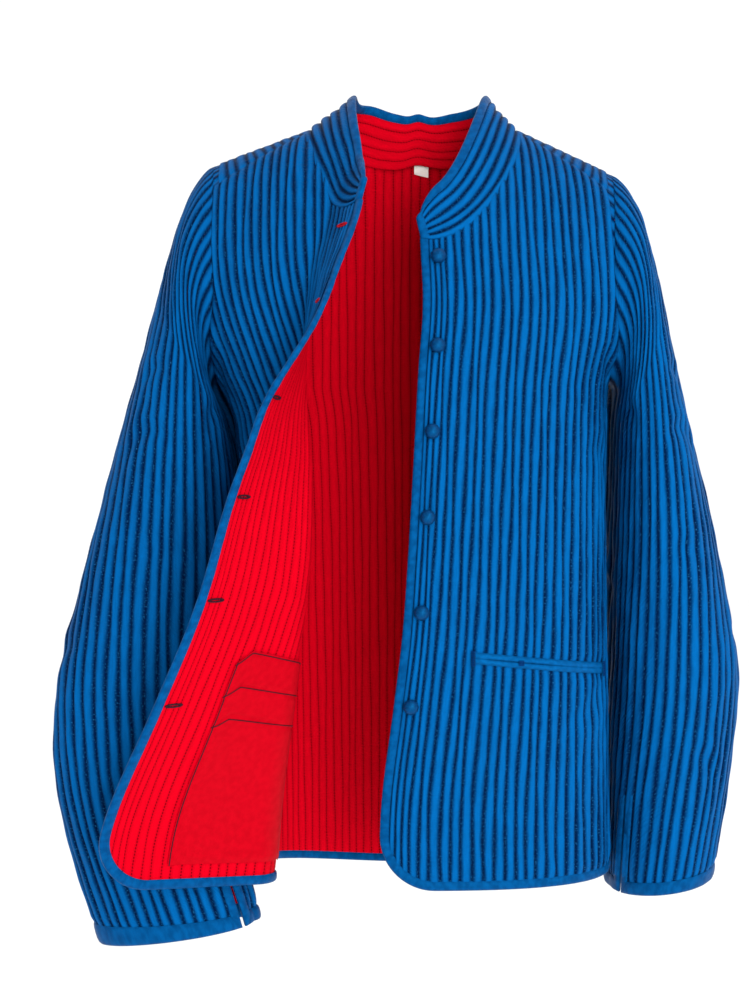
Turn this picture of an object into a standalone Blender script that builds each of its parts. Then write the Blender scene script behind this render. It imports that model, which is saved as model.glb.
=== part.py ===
"""Quilted jacket with a stand collar, filled out and open at the front.

The frame has +Z up, the wearer's left at +X and the front at -Y. The origin lies between the two points
where the neck meets the shoulder seams, which is where the wearer holds the jacket up.
Sizes below are in millimetres, and the meshes are written in metres.
"""

import math
from collections import namedtuple
from functools import lru_cache

import bmesh
import bpy
import numpy as np

MILLIMETRE = 0.001
LEFT = 1
RIGHT = -1

# Cloth
SEAM_GAP = 0.3
WALL = 1.2
RIB = 1.7
LINING_WALL = 1.2
LINING_GAP = 0.5
BINDING_WIDTH = 8.0
BINDING_HALF = 2.6
BINDING_GAP = 0.5
BINDING_SECTION = ((0.0, 0.7), (0.45, 1.0), (1.0, 0.35), (1.0, -0.35), (0.45, -1.0), (0.0, -0.7))
FRONT_CHANNELS = 28
BACK_CHANNELS = 52
SLEEVE_CHANNELS = 36
COLLAR_CHANNELS = 5

# Torso
ROUNDNESS = 2.6
UNDERARM = -225.0
SHOULDER_START = -200.0
NECK_HALF = 95.0
RIDGE_NECK = 7.0
RIDGE_FALL_LEFT = 0.46
RIDGE_FALL_RIGHT = 0.37
FRONT_HEM = -672.0
BACK_HEM = -696.0
HEM_CORNER = 48.0
FLAP_HEM_RISE = 20.0
NECK_FRONT_DEG = 68.0
NECK_BACK_DEG = 34.0
NECK_POWER = 0.75
SEAM_START_DEG = 104.0
SEAM_DEG_PER_MM = 0.21
YOKE_SLANT = 0.8
FAN_TOP = -120.0
BACK_CLIMB_START = -245.0
MM_PER_DEGREE = 2.2
FRONT_ROWS = (0.0, 0.22, 0.44, 0.62, 0.76, 0.86, 0.94, 1.0)
BACK_LOW_ROWS = 3
BACK_HIGH_ROWS = 6

# Armhole, an egg seen from the side
ARMHOLE_MIDDLE = -150.0
ARMHOLE_RIDGE_X = 183.5
ARMHOLE_DEPTH = 60.0
ARMHOLE_REACH = 140.0
ARMHOLE_FARTHEST = 212.0

# Half widths of the torso to the wearer's right and left, and its half depth, at each height
Section = namedtuple("Section", "height right left depth")
SECTIONS = (
    Section(-700, 141, 180, 96),
    Section(-600, 143, 178, 96),
    Section(-450, 149, 176, 95),
    Section(-300, 158, 175, 95),
    Section(-250, 166, 176, 95),
    Section(-225, 178, 178, 95),
    Section(-190, 198, 198, 95),
    Section(-120, 212, 212, 95),
    Section(-40, 216, 216, 95),
    Section(40, 216, 216, 95),
)

# Where the left front's edge hangs, to the wearer's left of the middle
Edge = namedtuple("Edge", "height left_of_middle")
LEFT_EDGE = (
    Edge(-700, -31),
    Edge(-600, -30),
    Edge(-512, -19),
    Edge(-455, -12),
    Edge(-387, -7),
    Edge(-300, -2),
    Edge(-225, 2),
    Edge(-165, 6),
    Edge(-110, 4),
    Edge(0, 4),
)

# The right front is swung open: it leaves the torso at a crease, rolls forward and goes on flat.
# crease: its place left of the middle; turn: degrees; turned_cloth: from the crease to the front edge
Swing = namedtuple("Swing", "height crease roll turn turned_cloth")
RIGHT_SWING = (
    Swing(-700, -130, 26, 88, 194),
    Swing(-600, -126, 27, 98, 190),
    Swing(-500, -117, 27, 103, 173),
    Swing(-400, -106, 24, 107, 150),
    Swing(-310, -100, 22, 103, 134),
    Swing(-225, -104, 26, 90, 108),
    Swing(-150, -98, 30, 74, 78),
    Swing(-60, -74, 34, 50, 48),
    Swing(0, -74, 34, 50, 48),
)
FLAP_NECK_EDGE = -78.0
FLAP_NECK_CREASE = -66.0
FLAP_NECK_SAG = 8.0

# Sleeve rings, from the armhole to the cuff: the ends of each ring away from and next to the torso
Ring = namedtuple("Ring", "along outer_x outer_z inner_x inner_z middle_y half_depth")
LEFT_RINGS = (
    Ring(0.00, 184, -36, 179, -223, 0, 58),
    Ring(0.06, 198, -46, 189, -226, 0, 62),
    Ring(0.12, 208, -76, 191, -238, 0, 66),
    Ring(0.22, 225, -140, 189, -264, 2, 69),
    Ring(0.38, 247, -240, 189, -327, 6, 70),
    Ring(0.52, 270, -332, 189, -402, 10, 68),
    Ring(0.66, 290, -420, 189, -477, 14, 64),
    Ring(0.78, 303, -500, 189, -547, 18, 60),
    Ring(0.90, 294, -600, 189, -624, 20, 56),
    Ring(1.00, 280, -686, 189, -700, 20, 50),
)
RIGHT_RINGS = (
    Ring(0.00, -184, -28, -179, -223, 0, 58),
    Ring(0.06, -198, -38, -189, -226, 0, 62),
    Ring(0.12, -211, -74, -186, -238, -2, 64),
    Ring(0.22, -229, -138, -174, -264, -6, 64),
    Ring(0.38, -255, -238, -163, -332, -16, 60),
    Ring(0.52, -278, -330, -160, -407, -28, 54),
    Ring(0.66, -300, -424, -163, -482, -42, 47),
    Ring(0.78, -316, -508, -161, -552, -55, 42),
    Ring(0.90, -309, -607, -160, -632, -68, 36),
    Ring(1.00, -273, -720, -142, -703, -80, 30),
)
ARMHOLE_BLEND = 0.12
ARMHOLE_INSET = 3.2
ARMHOLE_CLEAR = 2.0
SLEEVE_SEAM_DEG = 25.0
SLEEVE_LENGTH = 560.0
VENT_LENGTH = 68.0
VENT_SPREAD = 12.0
SLEEVE_ROWS = (0.0, 0.05, 0.11, 0.20, 0.36, 0.54, 0.70, 0.82, 0.92, 1.0)

# How the collar's top edge stands from its base, round the neck from the left front edge to the right
Lean = namedtuple("Lean", "around to_left to_back rise")
COLLAR_LEANS = (
    Lean(0.00, -10, 0, 42),
    Lean(0.12, -32, 0, 28),
    Lean(0.30, -31, -4, 30),
    Lean(0.42, -12, -12, 38),
    Lean(0.50, 0, -9, 37),
    Lean(0.58, 14, -12, 38),
    Lean(0.70, 42, -4, 30),
    Lean(0.88, 30, -6, 32),
    Lean(1.00, 10, -4, 40),
)
COLLAR_HEIGHT = 46.0
COLLAR_END_ROUND = 0.07
COLLAR_END_LOW = 0.45
COLLAR_SEAM = 3.2
COLLAR_STEPS = 20

# Buttons, pockets and label, measured from the front edge and from the neck
BUTTON_HEIGHTS = (-125, -202, -276, -350, -432, -513)
BUTTON_FROM_EDGE = 15.0
BUTTON_RADIUS = 6.0
BUTTON_DOME = 5.0
BUTTON_SIDES = 10
POCKET_FROM_EDGE = 63.0
POCKET_LENGTH = 134.0
POCKET_TOP = -466.0
POCKET_FALL = 0.11
WELT_HEIGHT = 5.6
WELT_WALL = 1.5
BAG_WALL = 1.0
BAG_CLEAR = 0.8
BAG_ROWS = (0.02, 0.12, 0.22, 0.295)
LABEL_ACROSS = (0.462, 0.492)
LABEL_ROWS = (8.60, 8.88)
LABEL_WALL = 0.8

BLUE = (0.005, 0.11, 0.42, 1.0)
DEEP_BLUE = (0.004, 0.075, 0.30, 1.0)
RED = (0.62, 0.004, 0.012, 1.0)
PLAIN_RED = (0.48, 0.004, 0.010, 1.0)
WHITE = (0.85, 0.82, 0.75, 1.0)
SATIN_ROUGHNESS = 0.38
LINING_ROUGHNESS = 0.6


def smooth(rows, column, at):
    """Read one column of a table at a place along its first column, on a smooth curve."""
    where = [row[0] for row in rows]
    value = [getattr(row, column) for row in rows]
    slope = np.gradient(value, where)
    at = min(max(at, where[0]), where[-1])
    i = min(max(int(np.searchsorted(where, at)) - 1, 0), len(where) - 2)
    step = where[i + 1] - where[i]
    t = (at - where[i]) / step
    start = value[i] * (1 + 2 * t) * (1 - t) ** 2 + slope[i] * step * t * (1 - t) ** 2
    end = value[i + 1] * t * t * (3 - 2 * t) + slope[i + 1] * step * t * t * (t - 1)
    return float(start + end)


def signed_power(value, exponent):
    """Raise a number to a power and keep its sign."""
    return math.copysign(abs(value) ** exponent, value)


def ridge(x):
    """Height of the shoulder line."""
    fall = RIDGE_FALL_LEFT if x > 0 else RIDGE_FALL_RIGHT
    return RIDGE_NECK + fall * (NECK_HALF - abs(x))


def shoulder_rise(x, z):
    """How far up the shoulder's curve a point is: 0 where the curve starts, 1 on the shoulder line."""
    rise = (z - SHOULDER_START) / (ridge(x) - SHOULDER_START)
    return min(max(rise, 0.0), 1.0)


def half_width(z, side):
    """Half width of the torso on one side."""
    return smooth(SECTIONS, "left" if side == LEFT else "right", z)


def sheet_depth(x, z, side):
    """How far the front or back sheet stands from the middle plane."""
    width = min(abs(x) / half_width(z, side), 1.0)
    flat = (1 - width**ROUNDNESS) ** (1 / ROUNDNESS)
    return smooth(SECTIONS, "depth", z) * flat * math.sqrt(1 - shoulder_rise(x, z) ** 2)


def torso_arc(z, side, start_x, facing, steps=90):
    """Plan view of the torso at one height, from start_x round to the side; facing is -1 for the front."""
    width = half_width(z, side)
    depth = smooth(SECTIONS, "depth", z)
    first = math.asin(max(-1.0, min(1.0, signed_power(side * start_x / width, ROUNDNESS / 2))))
    points = []
    for turn in np.linspace(first, math.pi / 2, steps):
        x = side * width * signed_power(math.sin(turn), 2 / ROUNDNESS)
        y = depth * abs(math.cos(turn)) ** (2 / ROUNDNESS)
        points.append((x, facing * y * math.sqrt(1 - shoulder_rise(x, z) ** 2)))
    return points


def swung_part(z, crease_point, along):
    """Plan view of the right front from its edge back to the crease."""
    roll = smooth(RIGHT_SWING, "roll", z)
    turn = math.radians(smooth(RIGHT_SWING, "turn", z))
    flat = smooth(RIGHT_SWING, "turned_cloth", z) - roll * turn
    onward = np.array(along) / np.hypot(*along)
    forward = np.array((onward[1], -onward[0]))
    start = np.array(crease_point)
    points = []
    for part in np.linspace(0, turn, 24)[1:]:
        points.append(start + roll * (math.sin(part) * onward + (1 - math.cos(part)) * forward))
    direction = math.cos(turn) * onward + math.sin(turn) * forward
    points.append(points[-1] + flat * direction)
    return [tuple(point) for point in reversed(points)]


@lru_cache(maxsize=None)
def front_plan(side, z):
    """Plan view of a front at one height, from its edge to the side, with the length along it."""
    if side == LEFT:
        points = torso_arc(z, LEFT, smooth(LEFT_EDGE, "left_of_middle", z), -1)
    else:
        torso = torso_arc(z, RIGHT, smooth(RIGHT_SWING, "crease", z), -1)
        along = np.array(torso[0]) - np.array(torso[1])
        points = swung_part(z, torso[0], along) + torso
    points = np.array(points)
    length = np.concatenate([[0], np.cumsum(np.hypot(*np.diff(points, axis=0).T))])
    return points, length


def front_width(side, z):
    """Cloth from the front edge to the side seam, which ends at the underarm."""
    return front_plan(side, min(round(z, 2), UNDERARM))[1][-1]


def front_point(side, from_edge, z):
    """A point of a front, from_edge being a share of its width."""
    points, length = front_plan(side, round(z, 2))
    at = from_edge * front_width(side, z)
    if at < 0:
        start = points[0] + (points[0] - points[1]) / (length[1] - length[0]) * -at
        return np.array((*start, z))
    x = np.interp(at, length, points[:, 0])
    y = np.interp(at, length, points[:, 1])
    return np.array((x, y, z))


def armhole_top(side):
    """Height at which the armhole crosses the shoulder line."""
    return ridge(side * ARMHOLE_RIDGE_X)


def armhole_depth(z, side):
    """Half the armhole's opening, front to back, at one height."""
    if z >= ARMHOLE_MIDDLE:
        share = (z - ARMHOLE_MIDDLE) / (armhole_top(side) - ARMHOLE_MIDDLE)
        return ARMHOLE_DEPTH * max(1 - share**1.5, 0) ** 0.8
    share = (ARMHOLE_MIDDLE - z) / (ARMHOLE_MIDDLE - UNDERARM)
    return ARMHOLE_DEPTH * max(1 - share * share, 0) ** 0.5


@lru_cache(maxsize=None)
def armhole_x(z, side):
    """How far from the middle the armhole's edge lies at one height."""
    near = ARMHOLE_REACH
    far = ARMHOLE_FARTHEST
    for _ in range(20):
        middle = (near + far) / 2
        if sheet_depth(side * middle, z, side) > armhole_depth(z, side):
            near = middle
        else:
            far = middle
    return side * near


def in_armhole(point):
    """Whether a point of the torso lies in the armhole."""
    x, y, z = point
    side = LEFT if x > 0 else RIGHT
    return abs(x) > ARMHOLE_REACH and UNDERARM < z and abs(y) < armhole_depth(z, side)


def neck_angle(x, front):
    """Where the neckline lies on the shoulder's curve, in degrees from the back of the torso."""
    across = max(0.0, 1 - (x / NECK_HALF) ** 2)
    reach = NECK_FRONT_DEG if front else -NECK_BACK_DEG
    return 90 + reach * across ** (NECK_POWER / 2)


def front_top_angle(x):
    """Where a front ends on the shoulder's curve: at the neckline or at the forward shoulder seam."""
    seam = SEAM_START_DEG + SEAM_DEG_PER_MM * (abs(x) - NECK_HALF)
    return max(neck_angle(x, True), seam)


def flap_neck(from_edge, turned_cloth):
    """Height of the neckline on the part of the right front that is swung open."""
    share = from_edge / turned_cloth
    straight = FLAP_NECK_EDGE + share * (FLAP_NECK_CREASE - FLAP_NECK_EDGE)
    return straight - FLAP_NECK_SAG * math.sin(math.pi * share)


def on_front(side, from_edge, z):
    """Whether a front still has cloth at this height."""
    if side == RIGHT:
        turned = smooth(RIGHT_SWING, "turned_cloth", z)
        at = from_edge * front_width(RIGHT, z)
        if at < turned:
            return z < flap_neck(at, turned)
    point = front_point(side, from_edge, z)
    if in_armhole(point):
        return False
    return shoulder_rise(point[0], z) < math.sin(math.radians(front_top_angle(point[0])))


@lru_cache(maxsize=None)
def front_top(side, from_edge):
    """Height at which a column of a front ends."""
    low = UNDERARM - 1.0
    while on_front(side, from_edge, low + 2.0):
        low += 2.0
    high = low + 2.0
    for _ in range(12):
        middle = (low + high) / 2
        if on_front(side, from_edge, middle):
            low = middle
        else:
            high = middle
    return low


def front_hem(side, from_edge, inset):
    """Height of a front's lower edge, with its rounded corner; inset is the width of the binding there."""
    width = front_width(side, FRONT_HEM)
    at = from_edge * width
    rise = 0.0
    if side == RIGHT:
        rise = FLAP_HEM_RISE * max(0.0, 1 - at / smooth(RIGHT_SWING, "turned_cloth", FRONT_HEM))
    corner = 0.0
    if at < HEM_CORNER:
        radius = HEM_CORNER - inset
        corner = radius - math.sqrt(max(radius**2 - (HEM_CORNER - at) ** 2, 0))
    return FRONT_HEM + rise + inset + corner


def front_columns(side):
    """Places of a front's columns as shares of its width: the edges and middles of its channels."""
    first = BINDING_WIDTH / front_width(side, FRONT_HEM)
    return np.linspace(first, 1.0 - SEAM_GAP / front_width(side, FRONT_HEM), 2 * FRONT_CHANNELS + 1)


def front_place(side, from_edge, up):
    """A point of a front by its column and its share of the column's height."""
    low = front_hem(side, from_edge, BINDING_WIDTH)
    high = front_top(side, from_edge) - SEAM_GAP
    return front_point(side, from_edge, low + up * (high - low))


@lru_cache(maxsize=None)
def back_plan(z):
    """Plan view of the back at one height, from the left side seam to the right one."""
    left = torso_arc(z, LEFT, 0.0, 1)
    right = torso_arc(z, RIGHT, 0.0, 1)
    points = np.array(left[::-1] + right[1:])
    length = np.concatenate([[0], np.cumsum(np.hypot(*np.diff(points, axis=0).T))])
    return points, length


def back_below(across, z):
    """A point of the back below the shoulder's curve, across being a share of its width from the left."""
    points, length = back_plan(round(z, 2))
    at = across * length[-1]
    return np.array((np.interp(at, length, points[:, 0]), np.interp(at, length, points[:, 1]), z))


def back_column_x(across, z):
    """How far a column of the back is from the middle at a height above the underarm."""
    length = back_plan(UNDERARM)[1]
    points, here = back_plan(round(min(max(z, UNDERARM), FAN_TOP), 2))
    middle = np.interp(0.0, -points[:, 0], here)
    at = middle + across * length[-1] - np.interp(0.0, -back_plan(UNDERARM)[0][:, 0], length)
    return np.interp(at, here, points[:, 0])


def back_over(across, angle):
    """A point of the back on the shoulder's curve; past 90 degrees it has come over to the front."""
    up = math.sin(math.radians(angle))
    high = back_column_x(across, FAN_TOP)
    climbed = up if angle < 90 else 1.0
    base = back_column_x(across, SHOULDER_START + (ridge(high) - SHOULDER_START) * climbed)
    side = LEFT if base >= 0 else RIGHT
    x = base
    if angle > 90:
        drop = (ridge(base) - SHOULDER_START) * (1 - up)
        fade = max(0.0, 1 - (abs(base) / ARMHOLE_RIDGE_X) ** 3)
        x = base - side * YOKE_SLANT * fade * drop
    z = SHOULDER_START + (ridge(x) - SHOULDER_START) * up
    width = min(abs(x) / half_width(z, side), 1.0)
    flat = (1 - width**ROUNDNESS) ** (1 / ROUNDNESS)
    y = smooth(SECTIONS, "depth", z) * flat * math.cos(math.radians(angle))
    return np.array((x, y, z))


def back_path(across, climb):
    """A point of the back above the underarm, climb being the cloth's length from BACK_CLIMB_START."""
    straight = SHOULDER_START - BACK_CLIMB_START
    if climb > straight:
        return back_over(across, (climb - straight) / MM_PER_DEGREE)
    z = BACK_CLIMB_START + climb
    if z < UNDERARM:
        return back_below(across, z)
    x = back_column_x(across, z)
    side = LEFT if x >= 0 else RIGHT
    return np.array((x, sheet_depth(x, z, side), z))


def on_back(across, climb):
    """Whether the back still has cloth here, before the armhole, the neckline or the forward seam."""
    point = back_path(across, climb)
    if in_armhole(point):
        return False
    angle = (climb - SHOULDER_START + BACK_CLIMB_START) / MM_PER_DEGREE
    x = abs(point[0])
    if x < NECK_HALF:
        return angle < neck_angle(x, angle > 90)
    return angle < front_top_angle(x)


@lru_cache(maxsize=None)
def back_end(across):
    """The climb at which a column of the back ends."""
    low = UNDERARM - BACK_CLIMB_START - 1.0
    while on_back(across, low + 1.0):
        low += 1.0
    high = low + 1.0
    for _ in range(10):
        middle = (low + high) / 2
        if on_back(across, middle):
            low = middle
        else:
            high = middle
    return low


def back_hem(across):
    """Height of the back's lower edge, which meets the fronts at the sides."""
    return FRONT_HEM + (BACK_HEM - FRONT_HEM) * math.sin(math.pi * across)


def back_place(across, row):
    """A point of the back by its column and its row, counted from the hem; rows may be broken numbers."""
    low = back_hem(across) + BINDING_WIDTH
    if row <= BACK_LOW_ROWS:
        return back_below(across, low + row / BACK_LOW_ROWS * (BACK_CLIMB_START - low))
    share = (row - BACK_LOW_ROWS) / BACK_HIGH_ROWS
    return back_path(across, share * (back_end(across) - SEAM_GAP))


def sleeve_rings(side):
    """The table of rings of one sleeve."""
    return LEFT_RINGS if side == LEFT else RIGHT_RINGS


@lru_cache(maxsize=None)
def sleeve_ring(side, along):
    """One ring of a sleeve as points from its seam round to its seam, with the length along it."""
    rows = sleeve_rings(side)
    outer = np.array((smooth(rows, "outer_x", along), smooth(rows, "outer_z", along)))
    inner = np.array((smooth(rows, "inner_x", along), smooth(rows, "inner_z", along)))
    middle_y = smooth(rows, "middle_y", along)
    depth = smooth(rows, "half_depth", along)
    share = min(along / ARMHOLE_BLEND, 1.0)
    blend = share * share * (3 - 2 * share)
    low = UNDERARM + ARMHOLE_INSET
    high = armhole_top(side) - ARMHOLE_INSET
    points = []
    for angle in np.linspace(0, 2 * math.pi, 181) + math.radians(SLEEVE_SEAM_DEG):
        place = (outer + inner) / 2 - (outer - inner) / 2 * math.cos(angle)
        ring = np.array((place[0], middle_y - depth * math.sin(angle), place[1]))
        z = (low + high) / 2 - (high - low) / 2 * math.cos(angle)
        y = -math.copysign(max(armhole_depth(z, side) - ARMHOLE_INSET, 0), math.sin(angle))
        hole = np.array((armhole_x(round(z, 3), side) + side * ARMHOLE_CLEAR, y, z))
        points.append(blend * ring + (1 - blend) * hole)
    points = np.array(points)
    length = np.concatenate([[0], np.cumsum(np.linalg.norm(np.diff(points, axis=0), axis=1))])
    return points, length


def vent_gap(along):
    """Distance between the two edges of a sleeve's seam, which opens into a vent near the cuff."""
    start = 1 - VENT_LENGTH / SLEEVE_LENGTH
    return SEAM_GAP + VENT_SPREAD * max(0.0, (along - start) / (1 - start))


def sleeve_point(side, around, along):
    """A point of a sleeve, around being a share of its width from one seam edge to the other."""
    points, length = sleeve_ring(side, round(min(max(along, 0.0), 1.0), 5))
    gap = vent_gap(along)
    at = gap / 2 + around * (length[-1] - gap)
    return np.array([np.interp(at, length, points[:, axis]) for axis in range(3)])


@lru_cache(maxsize=None)
def collar_base():
    """The line on which the collar stands, from the left front edge round the neck to the right one."""
    points = []
    start = math.asin(smooth(LEFT_EDGE, "left_of_middle", -110) / NECK_HALF)
    crease = -smooth(RIGHT_SWING, "crease", FLAP_NECK_CREASE)
    end = 2 * math.pi - math.asin(crease / NECK_HALF)
    for turn in np.linspace(start, end, 160):
        x = NECK_HALF * math.sin(turn)
        angle = math.radians(neck_angle(x, math.cos(turn) > 0))
        z = SHOULDER_START + (ridge(x) - SHOULDER_START) * math.sin(angle)
        side = LEFT if x >= 0 else RIGHT
        width = min(abs(x) / half_width(z, side), 1.0)
        flat = (1 - width**ROUNDNESS) ** (1 / ROUNDNESS)
        points.append((x, smooth(SECTIONS, "depth", z) * flat * math.cos(angle), z))
    turned = smooth(RIGHT_SWING, "turned_cloth", FLAP_NECK_CREASE)
    width = front_width(RIGHT, 0.0)
    for at in np.linspace(turned, 0, 30)[2:]:
        points.append(tuple(front_point(RIGHT, at / width, flap_neck(at, turned))))
    points = np.array(points)
    for _ in range(8):
        points[1:-1] = (points[:-2] + 2 * points[1:-1] + points[2:]) / 4
    length = np.concatenate([[0], np.cumsum(np.linalg.norm(np.diff(points, axis=0), axis=1))])
    return points, length / length[-1]


def collar_point(around, up):
    """A point of the collar, by its share of the way round the neck and of the collar's height."""
    points, share = collar_base()
    base = np.array([np.interp(around, share, points[:, axis]) for axis in range(3)])
    lean = np.array([smooth(COLLAR_LEANS, column, around) for column in ("to_left", "to_back", "rise")])
    end = min(around, 1 - around) / COLLAR_END_ROUND
    height = 1.0 if end >= 1 else max(math.sqrt(max(1 - (1 - end) ** 2, 0)), COLLAR_END_LOW)
    foot = COLLAR_SEAM / np.linalg.norm(lean)
    return base + lean * (foot + up * (height - foot))


def surface_normal(surface, u, v, step_u, step_v, outward):
    """Unit normal of a surface given as a function of two values, turned to the side of outward."""
    along_u = surface(u + step_u, v) - surface(u - step_u, v)
    along_v = surface(u, v + step_v) - surface(u, v - step_v)
    normal = np.cross(along_u, along_v)
    size = np.linalg.norm(normal)
    return outward * normal / size


def facets(surface, columns, rows):
    """The surface of a panel as its flat facets lie, between its columns and rows."""
    grid = np.array([[surface(u, v) for u in columns] for v in rows])

    def place(u, v):
        i = min(max(int(np.searchsorted(columns, u)) - 1, 0), len(columns) - 2)
        j = min(max(int(np.searchsorted(rows, v)) - 1, 0), len(rows) - 2)
        s = (u - columns[i]) / (columns[i + 1] - columns[i])
        t = (v - rows[j]) / (rows[j + 1] - rows[j])
        low = grid[j, i] * (1 - s) + grid[j, i + 1] * s
        high = grid[j + 1, i] * (1 - s) + grid[j + 1, i + 1] * s
        return low * (1 - t) + high * t

    return place


def finish_material(name, colour, roughness):
    """A plain cloth material."""
    material = bpy.data.materials.new(name)
    material.use_nodes = True
    shader = material.node_tree.nodes["Principled BSDF"]
    shader.inputs["Base Color"].default_value = colour
    shader.inputs["Roughness"].default_value = roughness
    shader.inputs["Metallic"].default_value = 0.0
    return material


def add_object(name, mesh_points, faces, colour, roughness):
    """Make one named object from points in millimetres and their faces."""
    body = bmesh.new()
    verts = [body.verts.new(np.asarray(point) * MILLIMETRE) for point in mesh_points]
    for face in faces:
        body.faces.new([verts[index] for index in face])
    bmesh.ops.triangulate(body, faces=body.faces[:])
    bmesh.ops.recalc_face_normals(body, faces=body.faces[:])
    mesh = bpy.data.meshes.new(name)
    body.to_mesh(mesh)
    body.free()
    mesh.materials.append(finish_material(name, colour, roughness))
    mesh.shade_smooth()
    mesh.set_sharp_from_angle(angle=math.radians(50))
    piece = bpy.data.objects.new(name, mesh)
    bpy.context.collection.objects.link(piece)
    return piece


def wall_from_grids(name, outer, inner, colour, roughness):
    """Close a wall between an outer grid and an inner one with the same rows, whose columns divide evenly."""
    rows = len(outer)
    wide = len(outer[0])
    narrow = len(inner[0])
    ratio = (wide - 1) // (narrow - 1)
    points = [point for row in outer for point in row] + [point for row in inner for point in row]
    faces = []
    shift = rows * wide
    for j in range(rows - 1):
        for i in range(wide - 1):
            a = j * wide + i
            faces += [(a, a + 1, a + wide + 1), (a, a + wide + 1, a + wide)]
        for i in range(narrow - 1):
            a = shift + j * narrow + i
            faces += [(a, a + narrow + 1, a + 1), (a, a + narrow, a + narrow + 1)]
        for i, k in ((0, 0), (wide - 1, narrow - 1)):
            a = j * wide + i
            b = shift + j * narrow + k
            quad = (a, a + wide, b + narrow, b)
            faces.append(quad if i == 0 else quad[::-1])
    for j in (0, rows - 1):
        for k in range(narrow - 1):
            inside = (shift + j * narrow + k, shift + j * narrow + k + 1)
            outside = [j * wide + k * ratio + i for i in range(ratio + 1)]
            half = ratio // 2
            rim = [(inside[0], outside[i + 1], outside[i]) for i in range(half)]
            rim.append((inside[0], inside[1], outside[half]))
            rim += [(inside[1], outside[i + 1], outside[i]) for i in range(half, ratio)]
            faces += rim if j == 0 else [face[::-1] for face in rim]
    return add_object(name, points, faces, colour, roughness)


def quilted_wall(name, surface, columns, rows, steps, outward, every):
    """A wall with a raised channel over every second column, and a plain inside with a point at every so many
    columns; its ribs end at the seams."""
    outer = []
    inner = []
    last = len(rows) - 1
    for j, v in enumerate(rows):
        outer_row = []
        inner_row = []
        for i, u in enumerate(columns):
            point = surface(u, v)
            normal = surface_normal(surface, u, v, *steps, outward)
            rib = RIB if i % 2 and 0 < j < last else 0.0
            outer_row.append(point + normal * (WALL + rib))
            if i % every == 0:
                inner_row.append(point)
        outer.append(outer_row)
        inner.append(inner_row)
    return wall_from_grids(name, outer, inner, BLUE, SATIN_ROUGHNESS)


def plain_wall(name, surface, columns, rows, steps, outward, near, far, colour):
    """A plain wall that follows a surface between two distances from it, measured outwards."""
    outer = []
    inner = []
    for v in rows:
        points = [surface(u, v) for u in columns]
        normals = [surface_normal(surface, u, v, *steps, outward) for u in columns]
        outer.append([point + normal * far for point, normal in zip(points, normals)])
        inner.append([point + normal * near for point, normal in zip(points, normals)])
    return wall_from_grids(name, outer, inner, colour, LINING_ROUGHNESS)


def binding(name, stations):
    """A rounded strip along a cloth edge; a station is the inner point, the outer point and the normal."""
    count = len(BINDING_SECTION)
    points = []
    for inner, outer, normal in stations:
        width = outer - inner
        middle = normal * WALL / 2
        clear = BINDING_GAP / np.linalg.norm(width)
        for out, up in BINDING_SECTION:
            points.append(inner + middle + width * (clear + out * (1 - clear)) + normal * up * BINDING_HALF)
    faces = []
    for j in range(len(stations) - 1):
        for i in range(count):
            a = j * count + i
            b = j * count + (i + 1) % count
            faces.append((a, b, b + count, a + count))
    faces.append(tuple(range(count))[::-1])
    last = (len(stations) - 1) * count
    faces.append(tuple(range(last, last + count)))
    return add_object(name, points, faces, DEEP_BLUE, SATIN_ROUGHNESS)


def side_name(side):
    """The wearer's side in a node's name."""
    return "left" if side == LEFT else "right"


def front_binding(side):
    """The strip round a front's hem, rounded corner and edge."""
    width = front_width(side, FRONT_HEM)
    steps = (1.0 / width, 0.002)

    def surface(u, v):
        return front_place(side, u, v)

    stations = []
    columns = front_columns(side)
    kept = [column for i, column in enumerate(columns) if i % 4 == 0 or column * width < HEM_CORNER]
    for column in kept[::-1]:
        inner = front_place(side, column, 0.0)
        at = column * width
        aside = max(0.0, (HEM_CORNER - at) / (HEM_CORNER - BINDING_WIDTH))
        down = math.sqrt(max(1 - aside**2, 0))
        outer_column = column - aside * BINDING_WIDTH / width
        outer = front_point(side, outer_column, inner[2] - down * BINDING_WIDTH)
        normal = surface_normal(surface, column, 0.004, *steps, side)
        stations.append((inner, outer, normal))
    edge = columns[0]
    for row in FRONT_ROWS[1:]:
        inner = front_place(side, edge, row)
        outer = front_point(side, 0.0, inner[2])
        normal = surface_normal(surface, edge, min(row, 0.995), *steps, side)
        stations.append((inner, outer, normal))
    return binding(f"front_{side_name(side)}_binding", stations)


def build_front(side):
    """A quilted front with its lining and its bound edge."""
    name = f"front_{side_name(side)}"
    width = front_width(side, FRONT_HEM)
    steps = (1.0 / width, 0.002)
    columns = front_columns(side)

    def surface(u, v):
        return front_place(side, u, v)

    every = 4 if side == LEFT else 2
    quilted_wall(name, surface, columns, FRONT_ROWS, steps, side, every)
    near = -LINING_GAP - LINING_WALL
    plain_wall(f"{name}_lining", surface, columns[::every], FRONT_ROWS, steps, side, near, -LINING_GAP, RED)
    front_binding(side)


def build_back():
    """The quilted back, its lining and its bound hem."""
    columns = np.linspace(0.001, 0.999, 2 * BACK_CHANNELS + 1)
    rows = list(range(BACK_LOW_ROWS + BACK_HIGH_ROWS + 1))
    steps = (0.002, 0.05)
    quilted_wall("back", back_place, columns, rows, steps, 1, 4)
    near = -LINING_GAP - LINING_WALL
    plain_wall("back_lining", back_place, columns[::4], rows, steps, 1, near, -LINING_GAP, RED)
    stations = []
    for column in columns[::4]:
        inner = back_place(column, 0.0)
        outer = back_below(column, inner[2] - BINDING_WIDTH)
        normal = surface_normal(back_place, column, 0.06, *steps, 1)
        stations.append((inner, outer, normal))
    binding("back_hem_binding", stations)


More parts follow.
